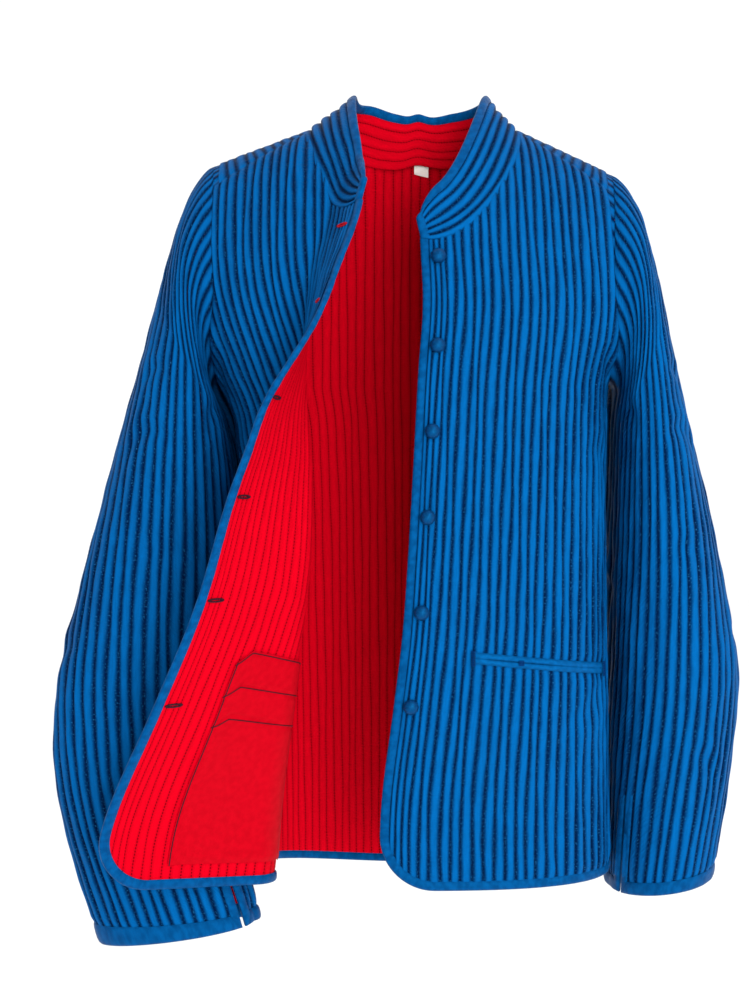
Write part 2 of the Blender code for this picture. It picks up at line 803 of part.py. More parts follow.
def build_sleeve(side):
    """A quilted sleeve with its vent and its bound cuff."""
    name = f"sleeve_{side_name(side)}"
    end = 1 - BINDING_WIDTH / SLEEVE_LENGTH
    columns = np.linspace(0.0, 1.0, 2 * SLEEVE_CHANNELS + 1)
    rows = [row * end for row in SLEEVE_ROWS]
    steps = (0.004, 0.003)

    def surface(u, v):
        return sleeve_point(side, min(max(u, 0.0), 1.0), min(max(v, 0.0), 1.0))

    quilted_wall(name, surface, columns, rows, steps, -side, 2)
    stations = []
    for column in columns[::4]:
        normal = surface_normal(surface, column, end, *steps, -side)
        stations.append((surface(column, end), surface(column, 1.0), normal))
    binding(f"cuff_binding_{side_name(side)}", stations)


def build_collar():
    """The stand collar, quilted along its length, with its lining and its bound top edge."""
    around = np.linspace(0.004, 0.996, COLLAR_STEPS + 1)
    body_top = 1 - BINDING_WIDTH / COLLAR_HEIGHT
    heights = np.linspace(0.0, body_top, 2 * COLLAR_CHANNELS + 1)

    def swapped(up, place):
        return collar_point(place, up)

    steps = (0.01, 0.003)
    quilted_wall("collar", swapped, heights, list(around), steps, -1, 10)
    near = -LINING_GAP - LINING_WALL
    plain_wall("collar_lining", swapped, heights[::10], list(around), steps, -1, near, -LINING_GAP, RED)
    stations = []
    for place in around:
        normal = surface_normal(swapped, body_top, place, *steps, -1)
        stations.append((collar_point(place, body_top), collar_point(place, 1.0), normal))
    binding("collar_binding", stations)


def build_buttons():
    """Covered dome buttons along the left front's edge."""
    width = front_width(LEFT, FRONT_HEM)

    def surface(u, z):
        return front_point(LEFT, u, z)

    for number, height in enumerate(BUTTON_HEIGHTS, start=1):
        share = BUTTON_FROM_EDGE / front_width(LEFT, height)
        place = surface(share, height)
        normal = surface_normal(surface, share, height, 1.0 / width, 1.0, 1)
        across = np.cross(normal, (0, 0, 1))
        across /= np.linalg.norm(across)
        up = np.cross(across, normal)
        base = place + normal * (WALL + RIB + SEAM_GAP)
        points = []
        for rise, radius in ((0.0, 0.75), (0.15, 1.0), (0.45, 0.95), (0.8, 0.6)):
            for turn in np.arange(BUTTON_SIDES) * 2 * math.pi / BUTTON_SIDES:
                out = BUTTON_RADIUS * radius * (math.cos(turn) * across + math.sin(turn) * up)
                points.append(base + normal * rise * BUTTON_DOME + out)
        points.append(base + normal * BUTTON_DOME)
        faces = [tuple(range(BUTTON_SIDES))]
        for j in range(3):
            for i in range(BUTTON_SIDES):
                a = j * BUTTON_SIDES + i
                b = j * BUTTON_SIDES + (i + 1) % BUTTON_SIDES
                faces.append((a, b, b + BUTTON_SIDES, a + BUTTON_SIDES))
        top = len(points) - 1
        for i in range(BUTTON_SIDES):
            faces.append((3 * BUTTON_SIDES + i, 3 * BUTTON_SIDES + (i + 1) % BUTTON_SIDES, top))
        add_object(f"button_{number}", points, faces, DEEP_BLUE, SATIN_ROUGHNESS)


def build_pocket(side):
    """The two welts outside a front and the plain pocket bag on its lining."""
    width = front_width(side, POCKET_TOP)
    columns = front_columns(side)
    every = 4 if side == LEFT else 2
    first = int(np.searchsorted(columns, POCKET_FROM_EDGE / width)) // 4 * 4
    last = first + round(POCKET_LENGTH / width / (columns[4] - columns[0])) * 4
    outside = facets(lambda u, v: front_place(side, u, v), columns, FRONT_ROWS)
    inside_panel = facets(lambda u, v: front_place(side, u, v), columns[::every], FRONT_ROWS)
    smooth_step = 1.0 / width

    def surface(u, drop):
        low = front_hem(side, u, BINDING_WIDTH)
        z = POCKET_TOP - POCKET_FALL * (u - columns[first]) * width - drop
        return outside(u, (z - low) / (front_top(side, u) - SEAM_GAP - low))

    steps = (smooth_step, 1.0)
    clear = WALL + RIB + SEAM_GAP
    across = columns[first : last + 1]
    for place, start in (("upper", 0.0), ("lower", WELT_HEIGHT + 0.5)):
        name = f"welt_{place}_{side_name(side)}"
        drops = (start, start + WELT_HEIGHT)
        plain_wall(name, surface, across[::2], drops, steps, -side, clear, clear + WELT_WALL, BLUE)
    inside = -LINING_GAP - LINING_WALL - BAG_CLEAR
    name = f"pocket_bag_{side_name(side)}"
    steps = (smooth_step, 0.002)
    bag = across[::every]
    plain_wall(name, inside_panel, bag, BAG_ROWS, steps, side, inside - BAG_WALL, inside, PLAIN_RED)


def build_label():
    """The blank label sewn to the back's lining under the collar."""
    columns = np.linspace(0.001, 0.999, 2 * BACK_CHANNELS + 1)[::4]
    rows = list(range(BACK_LOW_ROWS + BACK_HIGH_ROWS + 1))
    surface = facets(back_place, columns, rows)
    across = np.linspace(LABEL_ACROSS[0], LABEL_ACROSS[1], 3)
    up = np.linspace(LABEL_ROWS[0], LABEL_ROWS[1], 3)
    inside = -LINING_GAP - LINING_WALL - SEAM_GAP
    plain_wall("label", surface, across, up, (0.002, 0.05), 1, inside - LABEL_WALL, inside, WHITE)


def main():
    """Clear the scene and build every piece."""
    for old in list(bpy.data.objects):
        bpy.data.objects.remove(old)
    build_back()
    for side in (LEFT, RIGHT):
        build_front(side)
        build_sleeve(side)
        build_pocket(side)
    build_collar()
    build_buttons()
    build_label()


main()
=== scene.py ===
"""Dress the quilted stand-collar jacket: padded channels, lining, bound edges, buttons and sewing.

The forms repeat the solids' sizes in millimetres, and the meshes are made in metres. The wearer's left
is at +X, the front at -Y and up at +Z.
"""

import logging
import math
from dataclasses import dataclass, replace
from enum import Enum
from typing import Callable, NamedTuple, Sequence

import bmesh
import bpy
import numpy as np
from bpy.types import Material, Mesh, Node, NodeSocket, NodeTree, Object
from numpy.linalg import norm
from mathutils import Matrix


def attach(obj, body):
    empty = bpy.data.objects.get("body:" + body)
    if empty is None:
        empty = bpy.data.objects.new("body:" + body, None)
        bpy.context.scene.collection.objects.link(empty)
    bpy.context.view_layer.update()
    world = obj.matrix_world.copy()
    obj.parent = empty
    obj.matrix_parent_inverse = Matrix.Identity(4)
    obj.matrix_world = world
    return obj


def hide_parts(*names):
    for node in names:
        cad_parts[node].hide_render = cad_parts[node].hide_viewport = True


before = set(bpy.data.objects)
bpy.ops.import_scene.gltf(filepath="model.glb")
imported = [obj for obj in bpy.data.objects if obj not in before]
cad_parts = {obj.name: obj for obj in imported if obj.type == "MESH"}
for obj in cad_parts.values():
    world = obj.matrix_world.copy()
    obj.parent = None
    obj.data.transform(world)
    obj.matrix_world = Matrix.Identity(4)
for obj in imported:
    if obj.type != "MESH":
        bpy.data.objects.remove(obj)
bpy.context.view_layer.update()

Array = np.ndarray
MILLIMETRE = 0.001
TINY = 1e-9
STILL = 1e-6
OPENING_STEPS = 4
SHORTEST_EDGE = 1e-3
JOIN_REACH = 0.02
LAST_CELL = 1.001
HALVINGS = 20
LOWEST = -705.0
HIGHEST = 21.0
HEIGHT_STEP = 3.0
LOG = logging.getLogger("jacket")


class Side(Enum):
    """The wearer's two sides, by the sign of X."""

    LEFT = 1
    RIGHT = -1

    @property
    def word(self) -> str:
        """The side's name in the names of pieces."""
        return self.name.lower()


class Section(NamedTuple):
    """Half widths of the torso and its half depth at one height."""

    height: float
    right: float
    left: float
    depth: float


class Edge(NamedTuple):
    """Where the left front's edge hangs."""

    height: float
    left_of_middle: float


class Swing(NamedTuple):
    """How the right front leaves the torso at a crease, rolls forward and goes on flat."""

    height: float
    crease: float
    roll: float
    turn: float
    turned_cloth: float


class Ring(NamedTuple):
    """One ring of a sleeve: its ends away from and next to the torso, and its middle and half depth."""

    along: float
    outer_x: float
    outer_z: float
    inner_x: float
    inner_z: float
    middle_y: float
    half_depth: float


class Lean(NamedTuple):
    """How the collar's top stands from its foot at one place round the neck."""

    around: float
    to_left: float
    to_back: float
    rise: float
    foot_lift: float


SECTIONS = (
    Section(-700, 141, 180, 96),
    Section(-600, 143, 178, 96),
    Section(-450, 149, 176, 95),
    Section(-300, 158, 175, 95),
    Section(-250, 166, 176, 95),
    Section(-225, 178, 178, 95),
    Section(-190, 198, 198, 95),
    Section(-120, 212, 212, 95),
    Section(-40, 216, 216, 95),
    Section(40, 216, 216, 95),
)
LEFT_EDGE = (
    Edge(-700, -31),
    Edge(-600, -30),
    Edge(-512, -19),
    Edge(-455, -12),
    Edge(-387, -7),
    Edge(-300, -2),
    Edge(-225, 2),
    Edge(-165, 6),
    Edge(-110, 4),
    Edge(0, 4),
)
RIGHT_SWING = (
    Swing(-700, -130, 26, 88, 194),
    Swing(-600, -126, 27, 98, 190),
    Swing(-500, -117, 27, 103, 173),
    Swing(-400, -106, 24, 107, 150),
    Swing(-310, -100, 15, 97, 134),
    Swing(-225, -104, 12, 80, 108),
    Swing(-150, -98, 11, 62, 78),
    Swing(-60, -74, 11, 46, 48),
    Swing(0, -74, 11, 46, 48),
)
LEFT_RINGS = (
    Ring(0.00, 184, -36, 179, -223, 0, 58),
    Ring(0.06, 198, -46, 189, -226, 0, 62),
    Ring(0.12, 208, -76, 191, -238, 0, 66),
    Ring(0.22, 225, -140, 190, -264, 2, 69),
    Ring(0.38, 247, -240, 190, -327, 6, 70),
    Ring(0.52, 270, -332, 190, -402, 10, 68),
    Ring(0.66, 290, -420, 190, -477, 14, 64),
    Ring(0.78, 303, -500, 190, -547, 18, 60),
    Ring(0.90, 294, -600, 189, -624, 20, 56),
    Ring(1.00, 280, -686, 189, -700, 20, 50),
)
RIGHT_RINGS = (
    Ring(0.00, -184, -28, -179, -223, 0, 58),
    Ring(0.06, -198, -38, -189, -226, 0, 62),
    Ring(0.12, -211, -74, -186, -238, -2, 64),
    Ring(0.22, -229, -138, -174, -264, -6, 64),
    Ring(0.38, -255, -238, -163, -332, -16, 60),
    Ring(0.52, -278, -330, -160, -407, -28, 54),
    Ring(0.66, -300, -424, -163, -482, -42, 47),
    Ring(0.78, -316, -508, -161, -552, -55, 42),
    Ring(0.90, -309, -607, -160, -632, -68, 36),
    Ring(1.00, -273, -720, -142, -703, -80, 30),
)
COLLAR_LEANS = (
    Lean(0.00, -10, 0, 42, 0),
    Lean(0.12, -32, 0, 28, 0),
    Lean(0.30, -31, -4, 31, 0),
    Lean(0.38, -20, -7, 43, -4),
    Lean(0.44, -9, -9, 44, -6),
    Lean(0.50, 0, -9, 40, -9),
    Lean(0.53, 5, -9, 42, -8),
    Lean(0.57, 12, -9, 44, -3),
    Lean(0.62, 22, -8, 43, 4),
    Lean(0.70, 42, -4, 34, 1),
    Lean(0.76, 42, -4, 31, 0),
    Lean(0.88, 30, -6, 32, 0),
    Lean(1.00, 10, -4, 40, 0),
)


class TableCurve:
    """A smooth curve through one column of a short table."""

    def __init__(self, rows: Sequence[tuple], column: str) -> None:
        """Keep the table's places, values and slopes.

        Args:
            rows: the table, whose first column says where each row lies.
            column: the name of the column to read.
        """
        self.where = np.array([row[0] for row in rows], dtype=float)
        self.value = np.array([getattr(row, column) for row in rows], dtype=float)
        self.slope = np.gradient(self.value, self.where)

    def __call__(self, at: float | Array) -> Array:
        """Read the curve.

        Args:
            at: one or more places along the first column.

        Returns:
            The values there.
        """
        at = np.clip(np.asarray(at, dtype=float), self.where[0], self.where[-1])
        i = np.clip(np.searchsorted(self.where, at) - 1, 0, len(self.where) - 2)
        step = self.where[i + 1] - self.where[i]
        t = (at - self.where[i]) / step
        start = self.value[i] * (1 + 2 * t) * (1 - t) ** 2 + self.slope[i] * step * t * (1 - t) ** 2
        end = self.value[i + 1] * t * t * (3 - 2 * t) + self.slope[i + 1] * step * t * t * (t - 1)
        return start + end


def lengths_along(points: Array) -> Array:
    """The length of a line of points from its first point to each one."""
    steps = norm(np.diff(points, axis=0), axis=1)
    return np.concatenate([[0.0], np.cumsum(steps)])


def along_line(at: Array, measure: Array, line: Array) -> Array:
    """Points at some lengths along a line, whose own points lie at the measured lengths."""
    return np.stack([np.interp(at, measure, line[:, axis]) for axis in range(3)], axis=1)


def ease(value: Array | float) -> Array:
    """Turn 0 to 1 into a soft start and stop."""
    value = np.clip(value, 0.0, 1.0)
    return value * value * (3 - 2 * value)


def read_grid(grid: Array, row: Array, column: Array) -> Array:
    """Read a grid of values between its rows and columns.

    Args:
        grid: the values by row and column.
        row: where to read, in rows from the first.
        column: where to read, in columns from the first.

    Returns:
        The values there.
    """
    row = np.clip(row, 0, grid.shape[0] - LAST_CELL)
    column = np.clip(column, 0, grid.shape[1] - LAST_CELL)
    j, i = row.astype(int), column.astype(int)
    t, s = row - j, column - i
    low = grid[j, i] * (1 - s) + grid[j, i + 1] * s
    high = grid[j + 1, i] * (1 - s) + grid[j + 1, i + 1] * s
    return low * (1 - t) + high * t


class PlanTable:
    """Plan curves of a hanging panel at regular heights, read back by cloth length and height."""

    STEP = 2.0

    def __init__(self, heights: Array, curves: Sequence[Array]) -> None:
        """Space each curve's points evenly along its cloth.

        Args:
            heights: evenly spaced heights, from the lowest.
            curves: the plan curve at each height.
        """
        self.heights = heights
        measures = [lengths_along(curve) for curve in curves]
        self.total = np.array([measure[-1] for measure in measures])
        at = np.arange(0.0, self.total.max() + 2 * self.STEP, self.STEP)
        self.grid = np.array(
            [[np.interp(at, m, c[:, k]) for k in range(2)] for m, c in zip(measures, curves)]
        )

    def length(self, z: Array) -> Array:
        """The whole cloth length at a height."""
        return np.interp(z, self.heights, self.total)

    def __call__(self, at: Array, z: Array) -> Array:
        """Find points by the length along the cloth and the height.

        Args:
            at: lengths from the curves' start.
            z: heights, of the same shape.

        Returns:
            Points, with X, Y and Z on the last axis.
        """
        at, z = np.broadcast_arrays(at, z)
        rise = self.heights[1] - self.heights[0]
        row = (z - self.heights[0]) / rise
        flat = [read_grid(self.grid[:, axis], row, at / self.STEP) for axis in range(2)]
        return np.stack([*flat, z], axis=-1)


@dataclass
class TorsoForm:
    """The filled-out torso that the fronts and the back hang round."""

    roundness: float = 2.6
    underarm: float = -225.0
    shoulder_start: float = -200.0
    neck_half: float = 95.0
    ridge_neck: float = 7.0
    ridge_fall_left: float = 0.46
    ridge_fall_right: float = 0.37
    neck_front_deg: float = 68.0
    neck_back_deg: float = 34.0
    neck_power: float = 0.75
    seam_start_deg: float = 104.0
    seam_deg_per_mm: float = 0.21
    armhole_middle: float = -150.0
    armhole_ridge_x: float = 183.5
    armhole_depth: float = 60.0
    armhole_reach: float = 140.0
    armhole_farthest: float = 212.0
    armhole_round: float = 1.5
    armhole_crown: float = 0.8

    def __post_init__(self) -> None:
        """Make the curves of the sections."""
        self.left_half = TableCurve(SECTIONS, "left")
        self.right_half = TableCurve(SECTIONS, "right")
        self.depth = TableCurve(SECTIONS, "depth")

    def ridge(self, x: Array | float) -> Array:
        """Height of the shoulder line."""
        fall = np.where(np.asarray(x) > 0, self.ridge_fall_left, self.ridge_fall_right)
        return self.ridge_neck + fall * (self.neck_half - np.abs(x))

    def rise(self, x: Array, z: Array) -> Array:
        """How far up the shoulder's curve a point is, from 0 to 1 on the shoulder line."""
        return np.clip((z - self.shoulder_start) / (self.ridge(x) - self.shoulder_start), 0.0, 1.0)

    def flatness(self, x: Array, z: Array) -> Array:
        """The sheets' share of the half depth, which falls off towards the sides."""
        half = np.where(np.asarray(x) >= 0, self.left_half(z), self.right_half(z))
        width = np.minimum(np.abs(x) / half, 1.0)
        return (1 - width**self.roundness) ** (1 / self.roundness)

    def sheet_depth(self, x: Array, z: Array) -> Array:
        """How far the front or back sheet stands from the middle plane."""
        return self.depth(z) * self.flatness(x, z) * np.sqrt(1 - self.rise(x, z) ** 2)

    def arc(self, z: float, side: Side, start_x: float, facing: int, steps: int = 90) -> Array:
        """Plan view of the torso at one height.

        Args:
            z: the height.
            side: the side to run to.
            start_x: where to start.
            facing: -1 for the front and 1 for the back.
            steps: how many points to make.

        Returns:
            Points from start_x round to the side.
        """
        half = float(self.left_half(z) if side is Side.LEFT else self.right_half(z))
        start = side.value * start_x / half
        first = math.asin(np.clip(math.copysign(abs(start) ** (self.roundness / 2), start), -1, 1))
        turn = np.linspace(first, math.pi / 2, steps)
        power = 2 / self.roundness
        x = side.value * half * np.sign(np.sin(turn)) * np.abs(np.sin(turn)) ** power
        y = float(self.depth(z)) * np.abs(np.cos(turn)) ** power
        return np.stack([x, facing * y * np.sqrt(1 - self.rise(x, z) ** 2)], axis=1)

    def armhole_top(self, side: Array | int) -> Array:
        """Height at which the armhole crosses the shoulder line."""
        return self.ridge(np.asarray(side) * self.armhole_ridge_x)

    def armhole_half(self, z: Array, side: Array | int) -> Array:
        """Half the armhole's opening, front to back, at a height."""
        up = np.maximum(z - self.armhole_middle, 0) / (self.armhole_top(side) - self.armhole_middle)
        down = np.maximum(self.armhole_middle - z, 0) / (self.armhole_middle - self.underarm)
        upper = np.maximum(1 - up**self.armhole_round, 0) ** self.armhole_crown
        lower = np.sqrt(np.maximum(1 - down**2, 0))
        return self.armhole_depth * np.where(z >= self.armhole_middle, upper, lower)

    def armhole_x(self, z: Array, side: int) -> Array:
        """Where the armhole's edge lies at each height, found by halving."""
        near = np.full_like(z, self.armhole_reach)
        far = np.full_like(z, self.armhole_farthest)
        for _ in range(HALVINGS):
            middle = (near + far) / 2
            inside = self.sheet_depth(side * middle, z) > self.armhole_half(z, side)
            near = np.where(inside, middle, near)
            far = np.where(inside, far, middle)
        return side * near

    def in_armhole(self, points: Array, margin: float = 0.0) -> Array:
        """Which points of the torso lie in an armhole, or within a margin of it."""
        x, y, z = np.moveaxis(points, -1, 0)
        side = np.where(x > 0, 1, -1)
        beside = (np.abs(x) > self.armhole_reach) & (z > self.underarm)
        return beside & (np.abs(y) < self.armhole_half(z, side) + margin)

    def neck_angle(self, x: Array, front: Array | bool) -> Array:
        """Where the neckline lies on the shoulder's curve, in degrees from the back."""
        across = np.maximum(0.0, 1 - (x / self.neck_half) ** 2)
        reach = np.where(front, self.neck_front_deg, -self.neck_back_deg)
        return 90 + reach * across ** (self.neck_power / 2)

    def front_top_angle(self, x: Array) -> Array:
        """Where a front ends on the shoulder's curve: at the neckline or the forward seam."""
        seam = self.seam_start_deg + self.seam_deg_per_mm * (np.abs(x) - self.neck_half)
        return np.maximum(self.neck_angle(x, True), seam)


def last_true(test: Callable[[Array], Array], start: float, stop: float, count: int) -> Array:
    """Find how far each column goes before a test first fails.

    Args:
        test: takes one value per column and says which still pass.
        start: the first value, which passes.
        stop: the last value to try.
        count: the number of columns.

    Returns:
        The last passing value of each column.
    """
    fine_halvings = 9
    low = np.full(count, start)
    live = np.ones(count, dtype=bool)
    for value in np.arange(start + 1.0, stop, 1.0):
        live &= test(np.full(count, value))
        low = np.where(live, value, low)
        if not live.any():
            break
    high = low + 1.0
    for _ in range(fine_halvings):
        middle = (low + high) / 2
        good = test(middle)
        low = np.where(good, middle, low)
        high = np.where(good, high, middle)
    return low


@dataclass
class FrontForm:
    """One front, by shares of its width from the front edge and of its columns' heights."""

    torso: TorsoForm
    side: Side
    hem_height: float = -672.0
    hem_corner: float = 48.0
    flap_hem_rise: float = 20.0
    binding_width: float = 8.0
    seam_gap: float = 0.3
    flap_neck_edge: float = -78.0
    flap_neck_crease: float = -66.0
    flap_neck_sag: float = 8.0
    roll_steps: int = 24
    highest_top: float = 20.0

    def __post_init__(self) -> None:
        """Make the plan curves at every height."""
        self.turned_cloth = TableCurve(RIGHT_SWING, "turned_cloth")
        heights = np.arange(LOWEST, HIGHEST, HEIGHT_STEP)
        self.plan = PlanTable(heights, [self.plan_curve(z) for z in heights])

    def plan_curve(self, z: float) -> Array:
        """Plan view of the front at one height, from its edge to the side."""
        if self.side is Side.LEFT:
            edge = float(TableCurve(LEFT_EDGE, "left_of_middle")(z))
            return self.torso.arc(z, Side.LEFT, edge, -1)
        columns = ("crease", "roll", "turn")
        crease, roll, turn = (float(TableCurve(RIGHT_SWING, name)(z)) for name in columns)
        turn = math.radians(turn)
        torso = self.torso.arc(z, Side.RIGHT, crease, -1)
        onward = torso[0] - torso[1]
        onward /= norm(onward)
        forward = np.array((onward[1], -onward[0]))
        part = np.linspace(0, turn, self.roll_steps)[1:, None]
        rolled = torso[0] + roll * (np.sin(part) * onward + (1 - np.cos(part)) * forward)
        flat = float(self.turned_cloth(z)) - roll * turn
        edge = rolled[-1] + flat * (math.cos(turn) * onward + math.sin(turn) * forward)
        return np.concatenate([[edge], rolled[::-1], torso])

    def width(self, z: Array | float) -> Array:
        """Cloth from the front edge to the side seam, which ends at the underarm."""
        return self.plan.length(np.minimum(z, self.torso.underarm))

    def point(self, share: Array | float, z: Array | float) -> Array:
        """Points by their share of the width and their height."""
        return self.plan(np.asarray(share) * self.width(z), np.asarray(z, dtype=float))

    def flap_neck(self, at: Array, turned: Array) -> Array:
        """Height of the neckline on the part that is swung open."""
        share = at / turned
        straight = self.flap_neck_edge + share * (self.flap_neck_crease - self.flap_neck_edge)
        return straight - self.flap_neck_sag * np.sin(np.pi * share)

    def has_cloth(self, share: Array, z: Array) -> Array:
        """Whether columns still have cloth at their heights."""
        point = self.point(share, z)
        over = np.sin(np.radians(self.torso.front_top_angle(point[..., 0])))
        there = ~self.torso.in_armhole(point) & (self.torso.rise(point[..., 0], z) < over)
        if self.side is Side.LEFT:
            return there
        turned = self.turned_cloth(z)
        at = share * self.width(z)
        return np.where(at < turned, z < self.flap_neck(at, turned), there)

    def tops(self, shares: Array) -> Array:
        """Height at which each column ends."""
        start = self.torso.underarm - 1.0
        tops = last_true(lambda z: self.has_cloth(shares, z), start, self.highest_top, len(shares))
        return tops - self.seam_gap

    def hems(self, shares: Array, inset: float) -> Array:
        """Height of the lower edge above a binding of this width, with the rounded corner."""
        at = shares * self.width(self.hem_height)
        radius = self.hem_corner - inset
        reach = np.clip(self.hem_corner - at, 0, radius)
        corner = radius - np.sqrt(radius**2 - reach**2)
        return self.hem_height + self.flap_rise(at) + inset + corner

    def flap_rise(self, at: Array) -> Array:
        """How much the swung part's hem lifts towards its edge."""
        if self.side is Side.LEFT:
            return np.zeros_like(at)
        return self.flap_hem_rise * np.maximum(0.0, 1 - at / self.turned_cloth(self.hem_height))

    def shares(self, across: Array) -> Array:
        """Columns from the binding to the side seam, by shares of the cloth between them."""
        width = float(self.width(self.hem_height))
        first = self.binding_width / width
        return first + across * (1.0 - self.seam_gap / width - first)

    def grid(self, across: Array, rows: int, short: float = 0.0) -> Array:
        """Points of the whole front; columns that end early stay at their ends.

        Args:
            across: shares of the way from the binding to the side seam.
            rows: how many rows, from the hem up.
            short: how far below the seams the columns end.

        Returns:
            Points by row and column.
        """
        shares = self.shares(across)
        low = self.hems(shares, self.binding_width)
        high = self.tops(shares) - short
        up = np.linspace(0.0, 1.0, rows)[:, None]
        return self.point(shares[None, :], np.minimum(low + up * (high.max() - low), high))


@dataclass
class BackForm:
    """The back, which climbs over the shoulders to the forward seams."""

    torso: TorsoForm
    front_hem: float = -672.0
    hem_height: float = -696.0
    binding_width: float = 8.0
    seam_gap: float = 0.3
    fan_top: float = -120.0
    climb_start: float = -245.0
    mm_per_degree: float = 2.2
    yoke_slant: float = 0.8
    plan_top: float = -223.0
    fan_reach: float = 340.0
    fan_step: float = 2.0
    side_inset: float = 0.001
    armhole_margin: float = 0.4
    longest_climb: float = 460.0
    neck_fade: float = 12.0

    def __post_init__(self) -> None:
        """Make the plan curves below the underarm and the fan of columns above it."""
        heights = np.arange(LOWEST, self.plan_top, HEIGHT_STEP)
        self.plan = PlanTable(heights, [self.plan_curve(z) for z in heights])
        self.heights = heights
        self.middles = np.array([self.middle_of(self.plan_curve(z)) for z in heights])
        base = self.plan_curve(self.torso.underarm)
        self.base_length = lengths_along(base)[-1]
        self.base_middle = self.middle_of(base)
        self.fan_heights = np.arange(self.torso.underarm, self.fan_top + TINY, HEIGHT_STEP)
        self.offsets = np.arange(-self.fan_reach, self.fan_reach + TINY, self.fan_step)
        fan = []
        for z in self.fan_heights:
            curve = self.plan_curve(z)
            measure = lengths_along(curve)
            fan.append(np.interp(self.middle_of(curve) + self.offsets, measure, curve[:, 0]))
        self.fan = np.array(fan)

    def plan_curve(self, z: float) -> Array:
        """Plan view of the back at one height, from the left side seam to the right one."""
        left = self.torso.arc(z, Side.LEFT, 0.0, 1)
        right = self.torso.arc(z, Side.RIGHT, 0.0, 1)
        return np.concatenate([left[::-1], right[1:]])

    @staticmethod
    def middle_of(curve: Array) -> float:
        """Length of a plan curve from the left side seam to the middle of the back."""
        return float(np.interp(0.0, -curve[:, 0], lengths_along(curve)))

    def below(self, across: Array, z: Array) -> Array:
        """Points below the underarm; the columns spread to both sides from a straight middle."""
        middle = np.interp(z, self.heights, self.middles)
        offset = across * self.base_length - self.base_middle
        left = middle / self.base_middle
        right = (self.plan.length(z) - middle) / (self.base_length - self.base_middle)
        return self.plan(middle + offset * np.where(offset < 0, left, right), z)

    def column_x(self, across: Array, z: Array) -> Array:
        """How far a column is from the middle above the underarm."""
        offset = across * self.base_length - self.base_middle
        row = (z - self.fan_heights[0]) / HEIGHT_STEP
        return read_grid(self.fan, row, (offset - self.offsets[0]) / self.fan_step)

    def over(self, across: Array, angle: Array) -> Array:
        """Points on the shoulder's curve; past 90 degrees they have come over to the front."""
        torso = self.torso
        start = torso.shoulder_start
        up = np.sin(np.radians(angle))
        high = self.column_x(across, np.full_like(across, self.fan_top))
        climbed = np.where(angle < 90, up, 1.0)
        base = self.column_x(across, start + (torso.ridge(high) - start) * climbed)
        drop = np.where(angle > 90, (torso.ridge(base) - start) * (1 - up), 0.0)
        fade = np.maximum(0.0, 1 - (np.abs(base) / torso.armhole_ridge_x) ** 3)
        x = base - np.where(base >= 0, 1, -1) * self.yoke_slant * fade * drop
        z = start + (torso.ridge(x) - start) * up
        y = torso.depth(z) * torso.flatness(x, z) * np.cos(np.radians(angle))
        return np.stack([x, y, z], axis=-1)

    def path(self, across: Array, climb: Array) -> Array:
        """Points by the cloth's length above the start of the climb."""
        straight = self.torso.shoulder_start - self.climb_start
        across, climb = np.broadcast_arrays(across, climb)
        z = self.climb_start + np.minimum(climb, straight)
        below = self.below(across, np.minimum(z, self.torso.underarm))
        x = self.column_x(across, z)
        upper = np.stack([x, self.torso.sheet_depth(x, z), z], axis=-1)
        over = self.over(across, np.maximum(climb - straight, 0.0) / self.mm_per_degree)
        lower = np.where((z < self.torso.underarm)[..., None], below, upper)
        return np.where((climb > straight)[..., None], over, lower)

    def has_cloth(self, across: Array, climb: Array, margin: float = 0.0) -> Array:
        """Whether columns still have cloth before the armhole, neckline or forward seam."""
        point = self.path(across, climb)
        straight = self.torso.shoulder_start - self.climb_start
        angle = (climb - straight) / self.mm_per_degree
        x = np.abs(point[..., 0])
        neck = self.torso.neck_angle(x, angle > 90)
        limit = np.where(x < self.torso.neck_half, neck, self.torso.front_top_angle(x))
        return ~self.torso.in_armhole(point, margin) & (angle < limit)

    def grid(self, across: Array, low_rows: int, high_rows: int, short: float = 0.0) -> Array:
        """Points of the whole back; columns that end early stay at their ends.

        Args:
            across: shares of the way from the left side seam.
            low_rows: how many rows below the start of the climb.
            high_rows: how many rows above it.
            short: how far before the shoulder and armhole seams the columns end.

        Returns:
            Points by row and column.
        """
        across = self.side_inset + (1 - 2 * self.side_inset) * across
        columns = len(across)
        hem = self.hems(across) + self.binding_width
        up = np.linspace(0.0, 1.0, low_rows, endpoint=False)[:, None]
        lower = self.below(np.broadcast_to(across, (low_rows, columns)), hem + up * (self.climb_start - hem))
        ends = self.ends(across, self.armhole_margin * max(short, 0.0))
        outside = np.abs(self.path(across, ends)[:, 0]) - self.torso.neck_half
        ends = ends - self.seam_gap - short * ease(outside / self.neck_fade)
        climb = np.minimum(np.linspace(0.0, 1.0, high_rows)[:, None] * ends.max(), ends)
        return np.concatenate([lower, self.path(across[None, :], climb)])

    def ends(self, across: Array, margin: float = 0.0) -> Array:
        """How far each column climbs."""
        start = self.torso.underarm - self.climb_start - 1.0
        return last_true(
            lambda climb: self.has_cloth(across, climb, margin), start, self.longest_climb, len(across)
        )

    def hems(self, across: Array) -> Array:
        """Height of the lower edge, which meets the fronts at the sides."""
        return self.front_hem + (self.hem_height - self.front_hem) * np.sin(np.pi * across)


